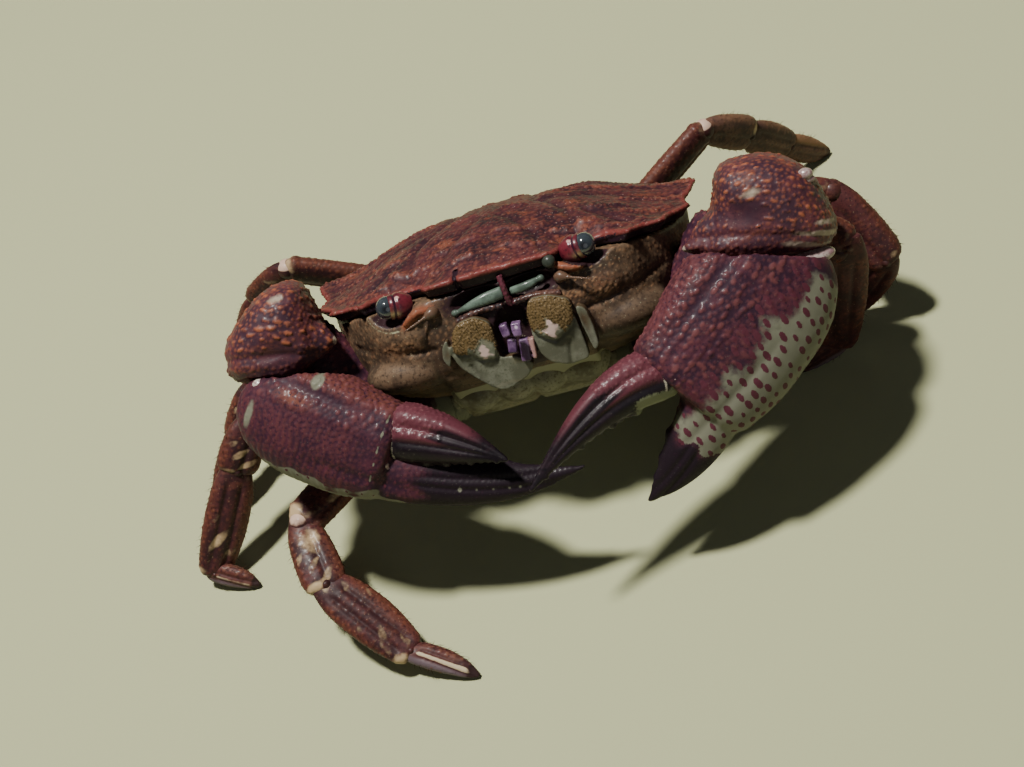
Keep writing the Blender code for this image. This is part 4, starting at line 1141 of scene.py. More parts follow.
def makeSeptum():  # the small post between the inner feelers, and the mouth's upper frame
    bm = bmesh.new()
    post = softPath([onBody(*point) for point in septum["post"]], 16)
    sizes = [(0.5 + 0.35 * abs(t - 0.4), 0.7) for t in np.linspace(0, 1, 16)]
    sweep(bm, tubeStations(post, bodyWay(1, 0, 0), sizes), 14)
    for side in (1, -1):
        bar = softPath([onBody(septum["middle"] + side * x, y, z) for x, y, z in septum["bar"]], 18)
        sweep(bm, tubeStations(bar, bodyWay(0, 0, 1), [septum["barHalf"]] * 18), 14)
    form = fuse(bm, septum["voxel"], 2)
    place = inBody(form["points"])
    mark(form, "rim", 0.9 * (np.abs(place[:, 0] - 1.9) < 1.0) * (place[:, 2] > -7.4))
    markSpots(form, place[:, [0, 2]], [("grain", 0.8, (11, -7.7), (4, 1.6))])
    storeForm(form)
    grains(form, septum["grain"], np.ones(len(place), bool), 45, "fine")
    finishForm("mouthFrame", form, "mouth")


tufts = {"sides": 3, "patch": 0.003, "point": 0.004, "rootDeep": 0.12, "wander": 0.35, "floor": 0.02}


def plantTufts(name, roots, hair, finish, seed, lean=(0, 0, 0)):
    # Thin spikes on given roots, each a small patch on the coat's own unwrap
    length, thick = hair
    chance = np.random.default_rng(seed)
    bm = bmesh.new()
    patches = bm.loops.layers.uv.new("OFBake")
    middle = sum((root for root, _ in roots), Vector()) / len(roots)
    for root, out in roots:
        tip = length * chance.uniform(0.6, 1.2)
        way = (out + Vector(lean) + Vector(chance.normal(0, tufts["wander"], 3))).normalized()
        place = Matrix.Translation(root - out * tufts["rootDeep"])
        place = place @ way.to_track_quat("Z", "Y").to_matrix().to_4x4() @ Matrix.Translation((0, 0, tip / 2))
        made = bmesh.ops.create_cone(bm, segments=tufts["sides"], radius1=thick * chance.uniform(0.7, 1.2),
                                     radius2=tufts["point"], depth=tip, cap_ends=True, matrix=place)["verts"]
        away = root - middle
        u = 0.5 + math.atan2(away.y, away.x) / (2 * math.pi) * 0.98
        v = 0.5 + math.atan2(away.z, math.hypot(away.x, away.y)) / math.pi * 0.98
        for number, vert in enumerate(made):
            vert.co.z = max(vert.co.z, tufts["floor"])
            angle = 2 * math.pi * number / len(made)
            corner = (u + math.cos(angle) * tufts["patch"] / 2, v + math.sin(angle) * tufts["patch"] / 2)
            for loop in vert.link_loops:
                loop[patches].uv = corner
    finishForm(name, openForm(bm), finish, smooth=False)


plantTufts("jawFuzz", makeJaw("l") + makeJaw("r"), mouth["hair"], "hair", 44,
           bodyWay(0, -0.3, 1) * 0.6)
makePalps()
for letter in sides:
    makeInnerFeeler(letter)
    makeOuterFeeler(letter)
makeSeptum()
print("mouth made")


# Eyes

eyeShape = {
    "root": (4.3, 1.5, -0.7), "reach": 1.02, "steps": 16, "voxel": 0.16, "ball": (2.2, 2.2, 2.25),
    "stalk": [(0, 1.6), (0.25, 2.3), (0.6, 2.65), (0.85, 2.5), (1.02, 2.2)],
    "bump": ((-1.8, -2, 1.0), (1.2, 1.2, 1.0)),
    # the pale spot on the stalk's top is a painted highlight
    "spots": [("pale", 0.75, (-2.3, -1.6, 1.7), (1.0, 1.4, 0.6)),
              ("rim", 0.8, (-1.2, -2.2, -1.4), (0.9, 1.2, 0.7))],
    "pupil": ("spot", 1.0, (0.2, -2.3, 0.3), (0.8, 0.9, 0.8)),
}


def makeEye(letter):
    eyePlace = eyes[letter]
    back, deep, low = eyeShape["root"]
    centre = onBody(*eyePlace)
    root = onBody(eyePlace[0] - sides[letter] * back, eyePlace[1] + deep, eyePlace[2] + low)
    shares = np.linspace(0, eyeShape["reach"], eyeShape["steps"])
    bm = bmesh.new()
    path = [root.lerp(centre, share) for share in shares]
    sweep(bm, tubeStations(path, bodyWay(0, 0, 1), sizesAlong(shares, eyeShape["stalk"])), 28)
    form = fuse(bm, eyeShape["voxel"], 3)
    outward = np.array((sides[letter], 1, 1))
    near = (inBody(form["points"]) - np.array(eyePlace)) * outward  # from the eye, outward on its own side
    along = (centre - root).normalized()
    share = measured(form, root, along)[0] / (centre - root).length
    lift(form, -0.25 * ridge(share, 0.75, 0.08) + 0.12 * spotShare(near, *eyeShape["bump"]))
    markSpots(form, near, eyeShape["spots"])
    mark(form, "spot", 0.9 * ridge(share, 0.80, 0.06))
    finishForm(f"stalk_{letter}", form, "stalk", [f"eyestalk_{letter}"])

    bm = bmesh.new()
    ball(bm, centre + along * 0.2, eyeShape["ball"], segments=48)
    form = openForm(bm)
    markSpots(form, (inBody(form["points"]) - np.array(eyePlace)) * outward, [eyeShape["pupil"]])
    finishForm(f"cornea_{letter}", form, "eye", [f"eye_{letter}"])


for letter in sides:
    makeEye(letter)
print("eyes made")


# Claws, in the body frame

claws = {
    "l": {
        "armEnd": (43.5, -21.0, -8.5),
        "wristLine": [(44.7, 5.9), (50.3, 6.4), (56.3, 5.2), (61.8, 0.8), (63.8, -6.0), (64.6, -11.5),
                      (62.4, -14.6), (58.0, -14.6), (48.5, -14.6), (40.5, -12.8), (36.8, -9.4), (40.0, -4.2),
                      (42.8, -0.8)],
        "tooth": (35.3, -31.0, -7.4), "seamAt": (49.7, -34.0, -12.2), "seamWay": (0.28, 0.30, 0.91),
        "palmStart": (53.5, -33.0, -13.5), "palmEnd": (28.4, -41.5, -30.4), "palmUp": (-0.65, -0.06, 0.75),
        "high": 14.4, "thick": 7.6, "low": 1.04, "thumbWide": 1.45, "thumbDrop": 0.35, "fingerWide": 1.12,
        "fingerTip": (-2.6, -51.5, -38.5), "fingerLean": (15.0, -46.0, -24.5),
        "thumbTip": (16.1, -39.5, -50.4), "thumbLean": (26.6, -41.5, -44.4),
        "paleFrom": -4.4, "paleSoft": 7.5, "wristPale": 0.85,
        "condyles": [((60.6, -32.0, 0.4), 1.5), ((28.6, -45.6, -26.4), 1.6), ((27.6, -40.2, -41.8), 1.0)],
        "facet": (48.5, -36.4, -3.0), "blotch": (50.5, -36.2, 0.6), "lobe": (58.6, -32.6, -10.4),
        "upperBeads": 0.1, "rosy": 1.0, "black": 0.40,
    },
    "r": {
        "armEnd": (-42.5, -21.0, -7.0),
        "wristLine": [(-40.0, 7.8), (-36.9, 6.6), (-35.8, 1.6), (-35.0, -3.2), (-35.6, -6.4), (-38.0, -9.0),
                      (-42.1, -11.0), (-47.2, -12.4), (-51.4, -12.6), (-54.3, -10.4), (-55.9, -6.9),
                      (-55.9, -2.3), (-53.4, 1.0), (-48.9, 4.5), (-44.7, 7.1)],
        "tooth": (-32.7, -31.0, -5.6), "seamAt": (-47.0, -31.8, -9.6), "seamWay": (0.21, 0.38, 0.90),
        "palmStart": (-49.8, -32.5, -14.0), "palmEnd": (-27.5, -39.0, -27.6), "palmUp": (0.52, 0.08, 0.85),
        "high": 11.2, "thick": 7.4, "low": 1.0, "thumbWide": 1.32, "thumbDrop": 0.42, "fingerWide": 1.28,
        "fingerTip": (-5.6, -46.3, -33.2), "fingerLean": (-15.6, -42.4, -27.0),
        "thumbTip": (7.6, -41.5, -39.6), "thumbLean": (-12.0, -41.0, -41.4),
        "paleFrom": -9.0, "paleSoft": 1.8, "wristPale": 0.3,
        "condyles": [((-48.9, -35.9, -8.7), 1.4), ((-29.3, -42.4, -28.8), 1.2)],
        "facet": (-43.5, -36.0, -4.4), "blotch": (-41.0, -34.0, 6.0), "lobe": (-54.0, -31.5, -5.0),
        "upperBeads": 0.30, "rosy": 0.35, "black": 0.22,
    },
}
palmShape = [(-0.17, 0.30, 0.34, 0.55), (-0.10, 0.55, 0.60, 0.74), (0.05, 0.84, 0.86, 0.9),
             (0.24, 0.97, 1.0, 1.0), (0.45, 1.0, 1.04, 1.0), (0.66, 0.94, 1.05, 0.95),
             (0.86, 0.84, 0.98, 0.84), (0.97, 0.80, 0.90, 0.78), (1.02, 0.70, 0.76, 0.66)]
fingerShape = [(0.0, 4.4, 4.4), (0.14, 4.4, 4.4), (0.29, 4.05, 3.85), (0.43, 3.65, 3.25), (0.57, 3.05, 2.65),
               (0.71, 2.25, 1.85), (0.86, 1.25, 0.95), (1.0, 0.32, 0.28)]
wristLayers = [(-36.5, 0.30), (-35.7, 0.58), (-33.6, 0.84), (-30.4, 0.97), (-27.0, 1.0), (-23.4, 0.95),
               (-20.6, 0.82), (-18.6, 0.56), (-17.9, 0.28)]
clawWork = {
    "voxel": 0.31, "roughVoxel": 0.5, "fingerVoxel": 0.28, "steps": 44, "seamGap": 0.15, "thumbBack": 7.0,
    "fingerUp": 0.36, "palmTeeth": (9, 0.45, 1.25), "fingerTeeth": (10, 0.3, 1.2),  # count, first, size
    "ridges": ((0.88, 0.35), (0.42, 0.15)), "furrowDeep": 0.3, "rib": 1.45, "ribTall": 0.08,
    "rows": {"l": (2.4, 0.45), "r": (2.6, 0.5)}, "rowGrain": (1.5, 0.60, 0.18),
    "longer": {"l": 1.5, "r": 1.3},
    "fineGrain": (0.95, 0.42, 0.08), "crestGrain": (1.1, 0.55, 0.22), "lowGrain": (1.7, 0.55, 0.12),
    "freckle": {"l": ((2.1, 0.66, 0.08), 2.1), "r": ((2.1, 0.36, 0.08), 1.4)},  # and how far drawn out
    "crestLine": ((0, 0.2, 1), (0.85, 0.97, 0.82)), "thumbFurrows": (1.02, -1.02),
    "fingerSteps": 48, "fingerRoot": ((2.6, (3.2, 3.4)), (1.2, (4.2, 4.2))),  # how far back, half sizes
    "fingerFurrows": ((0.38, 0.45), (-0.3, 0.4)), "reach": 0.40, "fingerGrain": (0.9, 0.38, 0.16),
    "patches": [("warmth", 0.9, (7.4, 5.2), (3.6, 1.7)), ("pale", 0.8, (10.6, 9.2), (1.5, 1.9)),
                ("pale", 0.8, (-1.0, -1.0), (1.4, 4.0))],
    "dots": (0.46, 0.53, 0.60, 0.67, 0.72, 0.77),  # shares along the fixed finger
}


def palmAxes(claw):
    start, end = onBody(*claw["palmStart"]), onBody(*claw["palmEnd"])
    along = (end - start).normalized()
    up = bodyWay(*claw["palmUp"])
    up = (up - along * up.dot(along)).normalized()
    return start, end, along, up, along.cross(up)


def seamCut(claw, side):  # the plane between palm and wrist, a little back on either side
    seam, way = onBody(*claw["seamAt"]), bodyWay(*claw["seamWay"])
    return seam - way * clawWork["seamGap"] * side, way * side


def fingerSizes(count, wide):
    sizes = sizesAlong(np.linspace(0, 1, count), [(t, a) for t, a, _ in fingerShape],
                       [(t, b) for t, _, b in fingerShape])
    return [(a * wide, b) for a, b in sizes]


def cuttingTeeth(bm, path, sizes, way, count, first, size):  # blunt teeth along a finger's inner edge
    for index in range(count):
        share = blend(first, 0.93, index / (count - 1))
        spot = int(share * (len(path) - 1))
        tall = size * (1 - 0.6 * share) * (1.25 if index % 3 == 0 else 0.85)
        along = (path[spot] - path[spot - 1]).normalized()
        inward = (way - along * way.dot(along)).normalized()
        ball(bm, path[spot] + inward * (sizes[spot][0] - 0.2), (tall, tall, tall * 0.9), segments=14)


def pathPlace(points, path):  # how far along a path each point lies, 0 to 1
    best, place = np.full(len(points), 1e9), np.zeros(len(points))
    for index, spot in enumerate(np.array(path)):
        away = ((points - spot) ** 2).sum(1)
        place = np.where(away < best, index / (len(path) - 1), place)
        best = np.minimum(best, away)
    return place


def acrossPath(share, path, way, start):  # height of a path's line along one way, beside each point
    heights = (np.array(path) - np.array(start)) @ np.array(way)
    return np.interp(share, np.linspace(0, 1, len(path)), heights)


def palmForm(claw, axes):  # palm and fixed finger, cut at the wrist's seam
    start, end, along, up, over = axes
    high, count = claw["high"], clawWork["steps"]
    above, below, deep = (softRows([(row[0], row[column]) for row in palmShape]) for column in (1, 2, 3))
    stations = []
    for share in np.linspace(palmShape[0][0], palmShape[-1][0], count):
        a, b = float(above(share)), float(below(share)) * claw["low"]
        centre = start.lerp(end, share) + up * high * (a - b) / 2
        thick = claw["thick"] * float(deep(share))
        stations.append(stationAt(centre, up, over, along, high * (a + b) / 2, thick))
    bm = bmesh.new()
    sweep(bm, stations, 40, 2.35)
    root = end - up * high * claw["thumbDrop"] - along * clawWork["thumbBack"]
    path = bend(root, onBody(*claw["thumbLean"]), onBody(*claw["thumbTip"]), count)
    sizes = fingerSizes(count, claw["thumbWide"])
    thumb = bmesh.new()
    sweep(thumb, tubeStations(path, up, sizes), 26)
    cuttingTeeth(thumb, path, sizes, up, *clawWork["palmTeeth"])
    addShape(bm, thumb)
    form = reopen(fuse(bm, clawWork["roughVoxel"], 1), clawWork["voxel"], 4, seamCut(claw, 1))
    return form, path, sizes


def palmSites(form, claw, axes, path):  # along, up and out on the palm, and where the fixed finger is
    start, end, along, up, over = axes
    length = (end - start).length
    u, v, w = measured(form, start, along, up, over)
    share = pathPlace(form["points"], path)
    blackFrom = claw["black"] - 0.03 * np.sin(v * 1.3)
    black = softStep(0.0, 0.08, share - blackFrom) * softStep(0.88, 1.02, u / length)
    thumbLevel = v - acrossPath(share, path, up, start)
    return {"u": u / length, "v": v, "w": w, "length": length, "share": share, "level": thumbLevel,
            "black": black, "plain": 1 - black}


def foldPalm(form, letter, high, site):  # ridges, furrows and ribs; says where the dark furrow is
    u, v = site["u"], site["v"]
    height = 0.0 * u
    for share, tall in clawWork["ridges"]:
        height += tall * ridge(v + 2.0 * u, high * share, 1.3) * softStep(0.0, 0.2, u) * site["plain"]
    furrow = ridge(v + u, high * 0.66, 1.1) * softStep(0.02, 0.15, u) * softStep(0.85, 0.6, u)
    height -= clawWork["furrowDeep"] * furrow
    height -= 0.35 * ridge(v, -high * 0.5, 1.2) * softStep(0.3, 0.7, u) * site["plain"]
    if letter == "r":
        waver = 0.35 * np.sin(v * 0.8 + 3.0 * u)
        ribs = 0.5 + 0.5 * np.cos(2 * math.pi * (u * site["length"] + waver) / clawWork["rib"])
        ribs *= softStep(high * 0.35, high * 0.05, v) * softStep(0.95, 0.7, u) * site["plain"]
        height += clawWork["ribTall"] * ribs
        mark(form, "warmth", 0.22 * ribs)
    for level in clawWork["thumbFurrows"]:
        line = ridge(site["level"], level, 0.5) * softStep(1.0, 0.8, site["share"])
        height -= 0.3 * line * site["black"]
    lift(form, height)
    storeForm(form)
    return furrow


def grainPalm(form, letter, claw, axes, site, furrow):  # rows of grains; says where the crest is
    along, up = axes[2:4]
    u, v, w, high = site["u"], site["v"], site["w"], claw["high"]
    onPalm = site["plain"] > 0.6
    crest = softStep(0.70, 0.90, v / (high * np.interp(u, *clawWork["crestLine"])))
    upper = (v > high * claw["upperBeads"]) & onPalm & (u < 1.0) & (furrow < 0.5)
    slope = v + 1.6 * u + 0.5 * w if letter == "l" else v + 1.5 * u
    row = inRows(slope, *clawWork["rows"][letter])
    way = along if letter == "l" else up
    grains(form, clawWork["rowGrain"], upper & row, 51, "grain", way, clawWork["longer"][letter])
    grains(form, clawWork["fineGrain"], (site["plain"] > 0.5) & (v > claw["paleFrom"] + 1.5), 53, "fine")
    grains(form, clawWork["crestGrain"], (crest > 0.6) & (u > 0) & (u < 1) & onPalm, 55, "grain")
    if letter == "l":
        lowRows = inRows(u * site["length"] + 0.6 * v, 2.6, 0.5) & (v < high * 0.1) & onPalm
        grains(form, clawWork["lowGrain"], lowRows & (v > claw["paleFrom"]), 59, "grain", up, 2.0)
    return crest


def colourPalm(form, letter, claw, axes, site):  # the pale lower margin with its long freckles
    along, up = axes[2:4]
    u, v, w, plain = site["u"], site["v"], site["w"], site["plain"]
    edge = v + 0.8 * np.sin(u * 11) + 0.5 * np.sin(u * 31) + 0.5 * np.sin(w * 1.7 + v)
    at, soft = claw["paleFrom"], claw["paleSoft"]
    margin = softStep(at + soft, at - soft, edge) * plain * softStep(-0.12, 0.05, u)
    mark(form, "pale", margin)
    belt = softStep(at + 5.0, at + 3.0, edge) * plain
    freckle, times = clawWork["freckle"][letter]
    across = (up - along * 0.2).normalized()
    grains(form, freckle, (belt > 0.3) & (plain > 0.8), 57, "spot", across, times)
    mark(form, "rim", site["black"])
    mark(form, "shade", (0.35 - 0.3 * claw["rosy"]) * plain)
    return margin


def spotPalm(form, claw, axes, site, path, sizes):  # patches near the wrist, dots on the fixed finger
    up, over = axes[3:]
    u, v = site["u"], site["v"]
    markSpots(form, np.stack([u * site["length"], v], axis=1), clawWork["patches"])
    broken = 0.5 + 0.2 * np.sin(v * 2.1) + 0.12 * np.sin(v * 5.3)
    mark(form, "pale", broken * ridge(u, 0.955, 0.012) * (v < claw["high"] * 0.7) * (site["w"] > 0))
    for share in clawWork["dots"]:
        spot = int(share * (len(path) - 1))
        place = path[spot] + over * sizes[spot][1] - up * 1.2
        markSpots(form, form["points"], [("pale", 0.8, place, (0.6, 0.6, 0.6))])


def makePalm(letter, claw):
    axes = palmAxes(claw)
    form, path, sizes = palmForm(claw, axes)
    site = palmSites(form, claw, axes, path)
    furrow = foldPalm(form, letter, claw["high"], site)
    crest = grainPalm(form, letter, claw, axes, site, furrow)
    margin = colourPalm(form, letter, claw, axes, site)
    mark(form, "shade", 0.9 * furrow * (1 - 0.4 * claw["rosy"]))
    mark(form, "warmth", (0.8 - 0.65 * claw["rosy"]) * crest * site["plain"])
    if letter == "r":
        spotPalm(form, claw, axes, site, path, sizes)
    markSpots(form, form["points"], [("pale", 0.35, path[-1], (2.2, 2.2, 2.2))])
    bare = site["plain"] * (1 - margin)
    bright = 1.0 if letter == "l" else 0.75
    for name, share in (("grain", bright * bare), ("fine", bare), ("warmth", site["plain"])):
        form["marks"][name] = form["marks"][name] * share
    finishForm(f"palmShell_{letter}", form, "claw", [f"palm_{letter}"])


def makeFinger(letter, claw):
    start, end, along, up, over = palmAxes(claw)
    hinge = end + up * claw["high"] * clawWork["fingerUp"] + along * 0.3
    path = bend(hinge, onBody(*claw["fingerLean"]), onBody(*claw["fingerTip"]), clawWork["fingerSteps"])
    sizes = fingerSizes(clawWork["fingerSteps"], claw["fingerWide"])
    bm = bmesh.new()
    rooted = [hinge - along * back for back, _ in clawWork["fingerRoot"]] + path
    halves = [half for _, half in clawWork["fingerRoot"]] + sizes
    sweep(bm, tubeStations(rooted, up, halves), 28, 2.3)
    cuttingTeeth(bm, path, sizes, -up, *clawWork["fingerTeeth"])
    form = fuse(bm, clawWork["fingerVoxel"], 2)
    share = pathPlace(form["points"], path)
    v, w = measured(form, start, up, over)
    v = v - acrossPath(share, path, up, start)
    outward = np.sign(w - acrossPath(share, path, over, start))
    level = v / np.interp(share, [t for t, _, _ in fingerShape], [a for _, a, _ in fingerShape])
    height = 0.35 * ridge(level, 0.9, 0.25) * softStep(1.0, 0.5, share)
    for at, deep in clawWork["fingerFurrows"]:
        height -= deep * ridge(level, at, 0.16) * softStep(0.98, 0.6, share) * softStep(0.0, 0.12, share)
    lift(form, height)
    storeForm(form)
    wander = 0.06 * np.sin(v * 1.7) + 0.04 * np.sin(v * 4.1)
    reach = clawWork["reach"]
    red = softStep(reach + 0.08, reach - 0.08, share + wander) * softStep(-0.35, 0.0, level)
    crest = softStep(0.62, 0.85, level) * softStep(0.80, 0.62, share)
    mark(form, "rim", np.maximum(red, 0.9 * crest))
    grains(form, clawWork["fingerGrain"], (level > 0.05) & (share < 0.45), 61, "grain")
    form["marks"]["grain"] *= 0.55 * np.maximum(red, crest)
    under = softStep(-0.35, -0.8, level) * softStep(0.40, 0.22, share)
    mark(form, "spot", under * (0.9 if letter == "l" else 0.3))
    mark(form, "pale", 0.4 * softStep(0.97, 1.0, share))
    mark(form, "pale", 0.5 * ridge(share, 0.02, 0.03) * (outward == -sides[letter]))
    finishForm(f"fingerShell_{letter}", form, "finger", [f"finger_{letter}"])


wristWork = {
    "slim": 0.98, "middle": -28.0, "layers": 30, "toothSteps": 14, "roughVoxel": 0.5,
    "toothShape": [(0.2, 5.8), (0.5, 4.9), (0.75, 3.2), (0.92, 1.3), (1.0, 0.35)],
    "facet": (4.6, 5, 3.0), "lobe": (8.0, 6, 4.4), "facetDeep": 0.7, "lip": (1.6, 0.9, 0.3),
    "groove": (3.6, 0.8, 0.35),  # where over the seam, how wide, how tall or deep
    "rowGrain": {"l": (1.75, 0.38, 0.22), "r": (1.75, 0.46, 0.26)}, "rowGap": 1.9, "longer": 2.1,
    "fineGrain": (0.95, 0.40, 0.13), "lipGrain": (1.0, 0.42, 0.20),
}


def wristForm(claw):  # a rounded block with its inner tooth, cut at the palm's seam
    line = soften(soften(claw["wristLine"]))
    middle = np.array(line).mean(axis=0)
    size = softRows(wristLayers)
    rings = []
    for depth in np.linspace(wristLayers[0][0], wristLayers[-1][0], wristWork["layers"]):
        share = float(size(depth)) * wristWork["slim"]
        rings.append([onBody(blend(middle[0], x, share), depth, blend(middle[1], z, share)) for x, z in line])
    bm = bmesh.new()
    skin(bm, rings)
    centre, tip = onBody(middle[0], wristWork["middle"], middle[1]), onBody(*claw["tooth"])
    shares = np.linspace(0.2, 1.0, wristWork["toothSteps"])
    path = [centre.lerp(tip, share) for share in shares]
    sweep(bm, tubeStations(path, bodyWay(0, 0, 1), sizesAlong(shares, wristWork["toothShape"])), 22)
    return reopen(fuse(bm, wristWork["roughVoxel"], 3), clawWork["voxel"], 5, seamCut(claw, -1))


def makeWrist(letter, claw):
    form = wristForm(claw)
    place = inBody(form["points"])
    x, y, z = place.T
    seam, seamWay = onBody(*claw["seamAt"]), bodyWay(*claw["seamWay"])
    facet = spotShare(place, claw["facet"], wristWork["facet"])
    lobe = spotShare(place, claw["lobe"], wristWork["lobe"])
    away = np.linalg.norm(place - np.array(claw["seamAt"]), axis=1)
    overSeam = measured(form, seam, seamWay)[0]
    side = softStep(0.75, 0.4, np.abs(form["ways"] @ np.array(seamWay)))
    (at, wide, tall), (low, narrow, deep) = wristWork["lip"], wristWork["groove"]
    lip = ridge(overSeam, at, wide) * side
    lift(form, -wristWork["facetDeep"] * facet + tall * lip - deep * ridge(overSeam, low, narrow) * side)
    storeForm(form)

    # Rows of grains that run round the seam, fine grains and a grainy lip
    outer = (form["ways"] @ bodyTurn[:, 1] < 0.35) & (facet < 0.5)
    wander = 0.5 * np.sin(x * 0.9) + 0.4 * np.sin(z * 1.3)
    row = inRows(away + wander, wristWork["rowGap"]) & outer & (lobe < 0.55) & (away > 5) & (overSeam > 5.0)
    spacing, *size = wristWork["rowGrain"][letter]
    chosen = spread(form, spacing, row, 63)
    tangent = np.cross(form["ways"][chosen], form["points"][chosen] - np.array(seam))
    tangent /= np.linalg.norm(tangent, axis=1)[:, None]
    beads(form, chosen, *size, 64, "grain", tangent, wristWork["longer"])
    grains(form, wristWork["fineGrain"], outer | (lobe > 0.3), 65, "fine")
    grains(form, wristWork["lipGrain"], lip > 0.6, 67, "fine")
    mark(form, "shade", 0.7 * facet)
    mark(form, "shade", 0.45 * softStep(5.5, 3.0, overSeam) * (1 - lobe))
    mark(form, "pale", claw["wristPale"] * lobe * (0.75 + 0.25 * np.sin(z * 2.6 + x)))
    markSpots(form, place, [("pale", 0.58, claw["blotch"], (3.4, 3, 1.5)),
                            ("pale", 1.0, claw["tooth"], (1.2, 1.2, 1.2))])
    finishForm(f"wristShell_{letter}", form, "wrist", [f"wrist_{letter}"])


arm = {
    "line": [(12.0, -13.0, -24.0), (17.5, -17.5, -26.5), (24.0, -21.5, -26.0), (34.0, -22.5, -19.0)],
    "over": 2.2, "steps": 44, "voxel": 0.36, "grain": (1.5, 0.5, 0.25), "joints": ((0.40, 0.7), (0.20, 0.6)),
    "wide": [(0, 4.4), (0.15, 4.9), (0.33, 5.0), (0.42, 4.7), (0.62, 6.5), (0.9, 7.2), (0.97, 6.8), (1, 6)],
    "deep": [(0, 4.2), (0.15, 4.5), (0.33, 4.4), (0.42, 4.2), (0.62, 5.3), (0.9, 5.9), (0.97, 5.6), (1, 5)],
}


def makeArm(letter, claw):
    corners = [onBody(sides[letter] * x, y, z) for x, y, z in arm["line"]]
    armEnd = onBody(*claw["armEnd"])
    corners.append(armEnd + (armEnd - corners[-1]).normalized() * arm["over"])
    path = softPath(corners, arm["steps"])
    sizes = sizesAlong(np.linspace(0, 1, arm["steps"]), arm["wide"], arm["deep"])
    bm = bmesh.new()
    sweep(bm, tubeStations(path, bodyWay(0, 0.2, 1), sizes), 32)
    form = fuse(bm, arm["voxel"], 2)
    share = pathPlace(form["points"], path)
    lift(form, -sum(deep * ridge(share, at, 0.02) for at, deep in arm["joints"]))
    storeForm(form)
    grains(form, arm["grain"], share > 0.45, 71, "grain")
    mark(form, "pale", softStep(0.40, 0.22, share))
    finishForm(f"armShell_{letter}", form, "claw", [f"arm_{letter}"])


knobs = {"voxel": 0.16, "skin": ((57.6, -31.4, -15.0), (4.8, 2.4, 1.8)), "lowWay": (0.3, 0.1, -1)}


def makeKnobs(letter, claw):
    bm = bmesh.new()
    if letter == "l":  # skin showing in the joint under the wrist's outer end
        centre, halves = knobs["skin"]
        ball(bm, onBody(*centre), halves, segments=24)
    for centre, size in claw["condyles"]:
        ball(bm, onBody(*centre), (size, size * 0.8, size * 0.75), segments=24)
        lower = onBody(*centre) + bodyWay(*knobs["lowWay"]) * size * 0.8
        ball(bm, lower, (size * 0.9, size * 0.5, size * 0.5), segments=20)
    finishForm(f"clawKnobs_{letter}", fuse(bm, knobs["voxel"], 3), "knob")


for letter, claw in claws.items():
    makePalm(letter, claw)
    makeFinger(letter, claw)
    makeWrist(letter, claw)
    makeArm(letter, claw)
    makeKnobs(letter, claw)
print("claws made")


# Walking legs, joints and toes measured over the floor

legs = {
    "2_r": [(-53.3, -44.9, 19.0), (-50.3, -57.9, 14.0), (-36.8, -71.8, 4.8), (-24.6, -78.4, 0.6)],
    "3_r": [(-60.6, -21.8, 27.0), (-66.8, -27.5, 19.8), (-78.9, -39.7, 3.8), (-69.7, -43.9, 0.6)],
    "4_r": [(-62.2, -9.5, 23.0), (-68.5, -13.8, 14.0), (-76.2, -22.4, 4.8), (-75.6, -29.4, 0.6)],
    "5_r": [(-49.7, 13.9, 31.0), (-59.7, 15.9, 22.0), (-68.0, 16.1, 9.0), (-69.5, 11.4, 0.3)],
    "2_l": [(53.7, -13.4, 34.0), (65.2, -22.5, 30.0), (59.0, -25.3, 4.8), (49.0, -26.2, 0.6)],
    "3_l": [(65.4, -8.4, 31.0), (72.2, -17.2, 17.0), (63.3, -15.8, 4.2), (54.7, -16.0, 0.6)],
    "4_l": [(58.0, -0.6, 22.0), (65.6, -3.5, 13.0), (67.7, -8.2, 4.2), (61.3, -7.5, 0.6)],
    "5_l": [(44.0, 22.0, 28.0), (52.7, 25.8, 19.5), (60.6, 29.6, 9.0), (69.0, 32.3, 0.3)],
}
legSizes = {
    2: {"merus": (9.2, 4.8), "carpus": (9.6, 4.8), "propodus": (10.4, 4.4), "dactyl": (5.2, 3.2)},
    3: {"merus": (9.6, 4.8), "carpus": (9.6, 4.8), "propodus": (9.8, 4.4), "dactyl": (5.0, 3.2)},
    4: {"merus": (8.8, 4.6), "carpus": (7.4, 4.6), "propodus": (7.8, 4.2), "dactyl": (4.6, 3.0)},
    5: {"merus": (7.8, 4.4), "carpus": (8.8, 4.4), "propodus": (8.8, 3.8), "dactyl": (6.8, 2.8)},
}
segmentShapes = {
    "merus": [(0.0, 0.62), (0.14, 0.66), (0.22, 0.62), (0.36, 0.86), (0.6, 1.0), (0.84, 0.98), (0.94, 0.93),
              (0.99, 0.80), (1.02, 0.55)],
    "carpus": [(-0.10, 0.42), (0.0, 0.60), (0.12, 0.76), (0.45, 0.95), (0.75, 1.0), (0.92, 0.96),
               (1.02, 0.80), (1.07, 0.55)],
    "propodus": [(-0.10, 0.5), (0.0, 0.70), (0.1, 0.86), (0.35, 1.0), (0.7, 0.95), (0.9, 0.80), (0.98, 0.70),
                 (1.03, 0.5)],
    "dactyl": [(-0.12, 0.6), (0.02, 0.88), (0.1, 0.95), (0.35, 1.0), (0.65, 0.84), (0.88, 0.50), (1.0, 0.2)],
}
legWork = {
    "voxel": 0.30, "steps": 44, "slim": 0.955, "floor": 0.12, "hairGap": 1.15, "hair": (1.3, 0.07),
    "edgeGrain": (0.95, 0.40, 0.09), "fineGrain": (1.3, 0.38, 0.09), "sag": {"propodus": 0.25, "dactyl": 0.5},
    "grooves": {"propodus": 0.42, "dactyl": 0.3}, "tipStripe": {"2_r": 0.85, "3_r": 0.6},
    "jointVoxel": 0.28, "jointPaleAndHighlight": {"5_l": 0.9, "5_r": 0.9, "2_r": 0.6}, "jointFloor": 0.02,
}


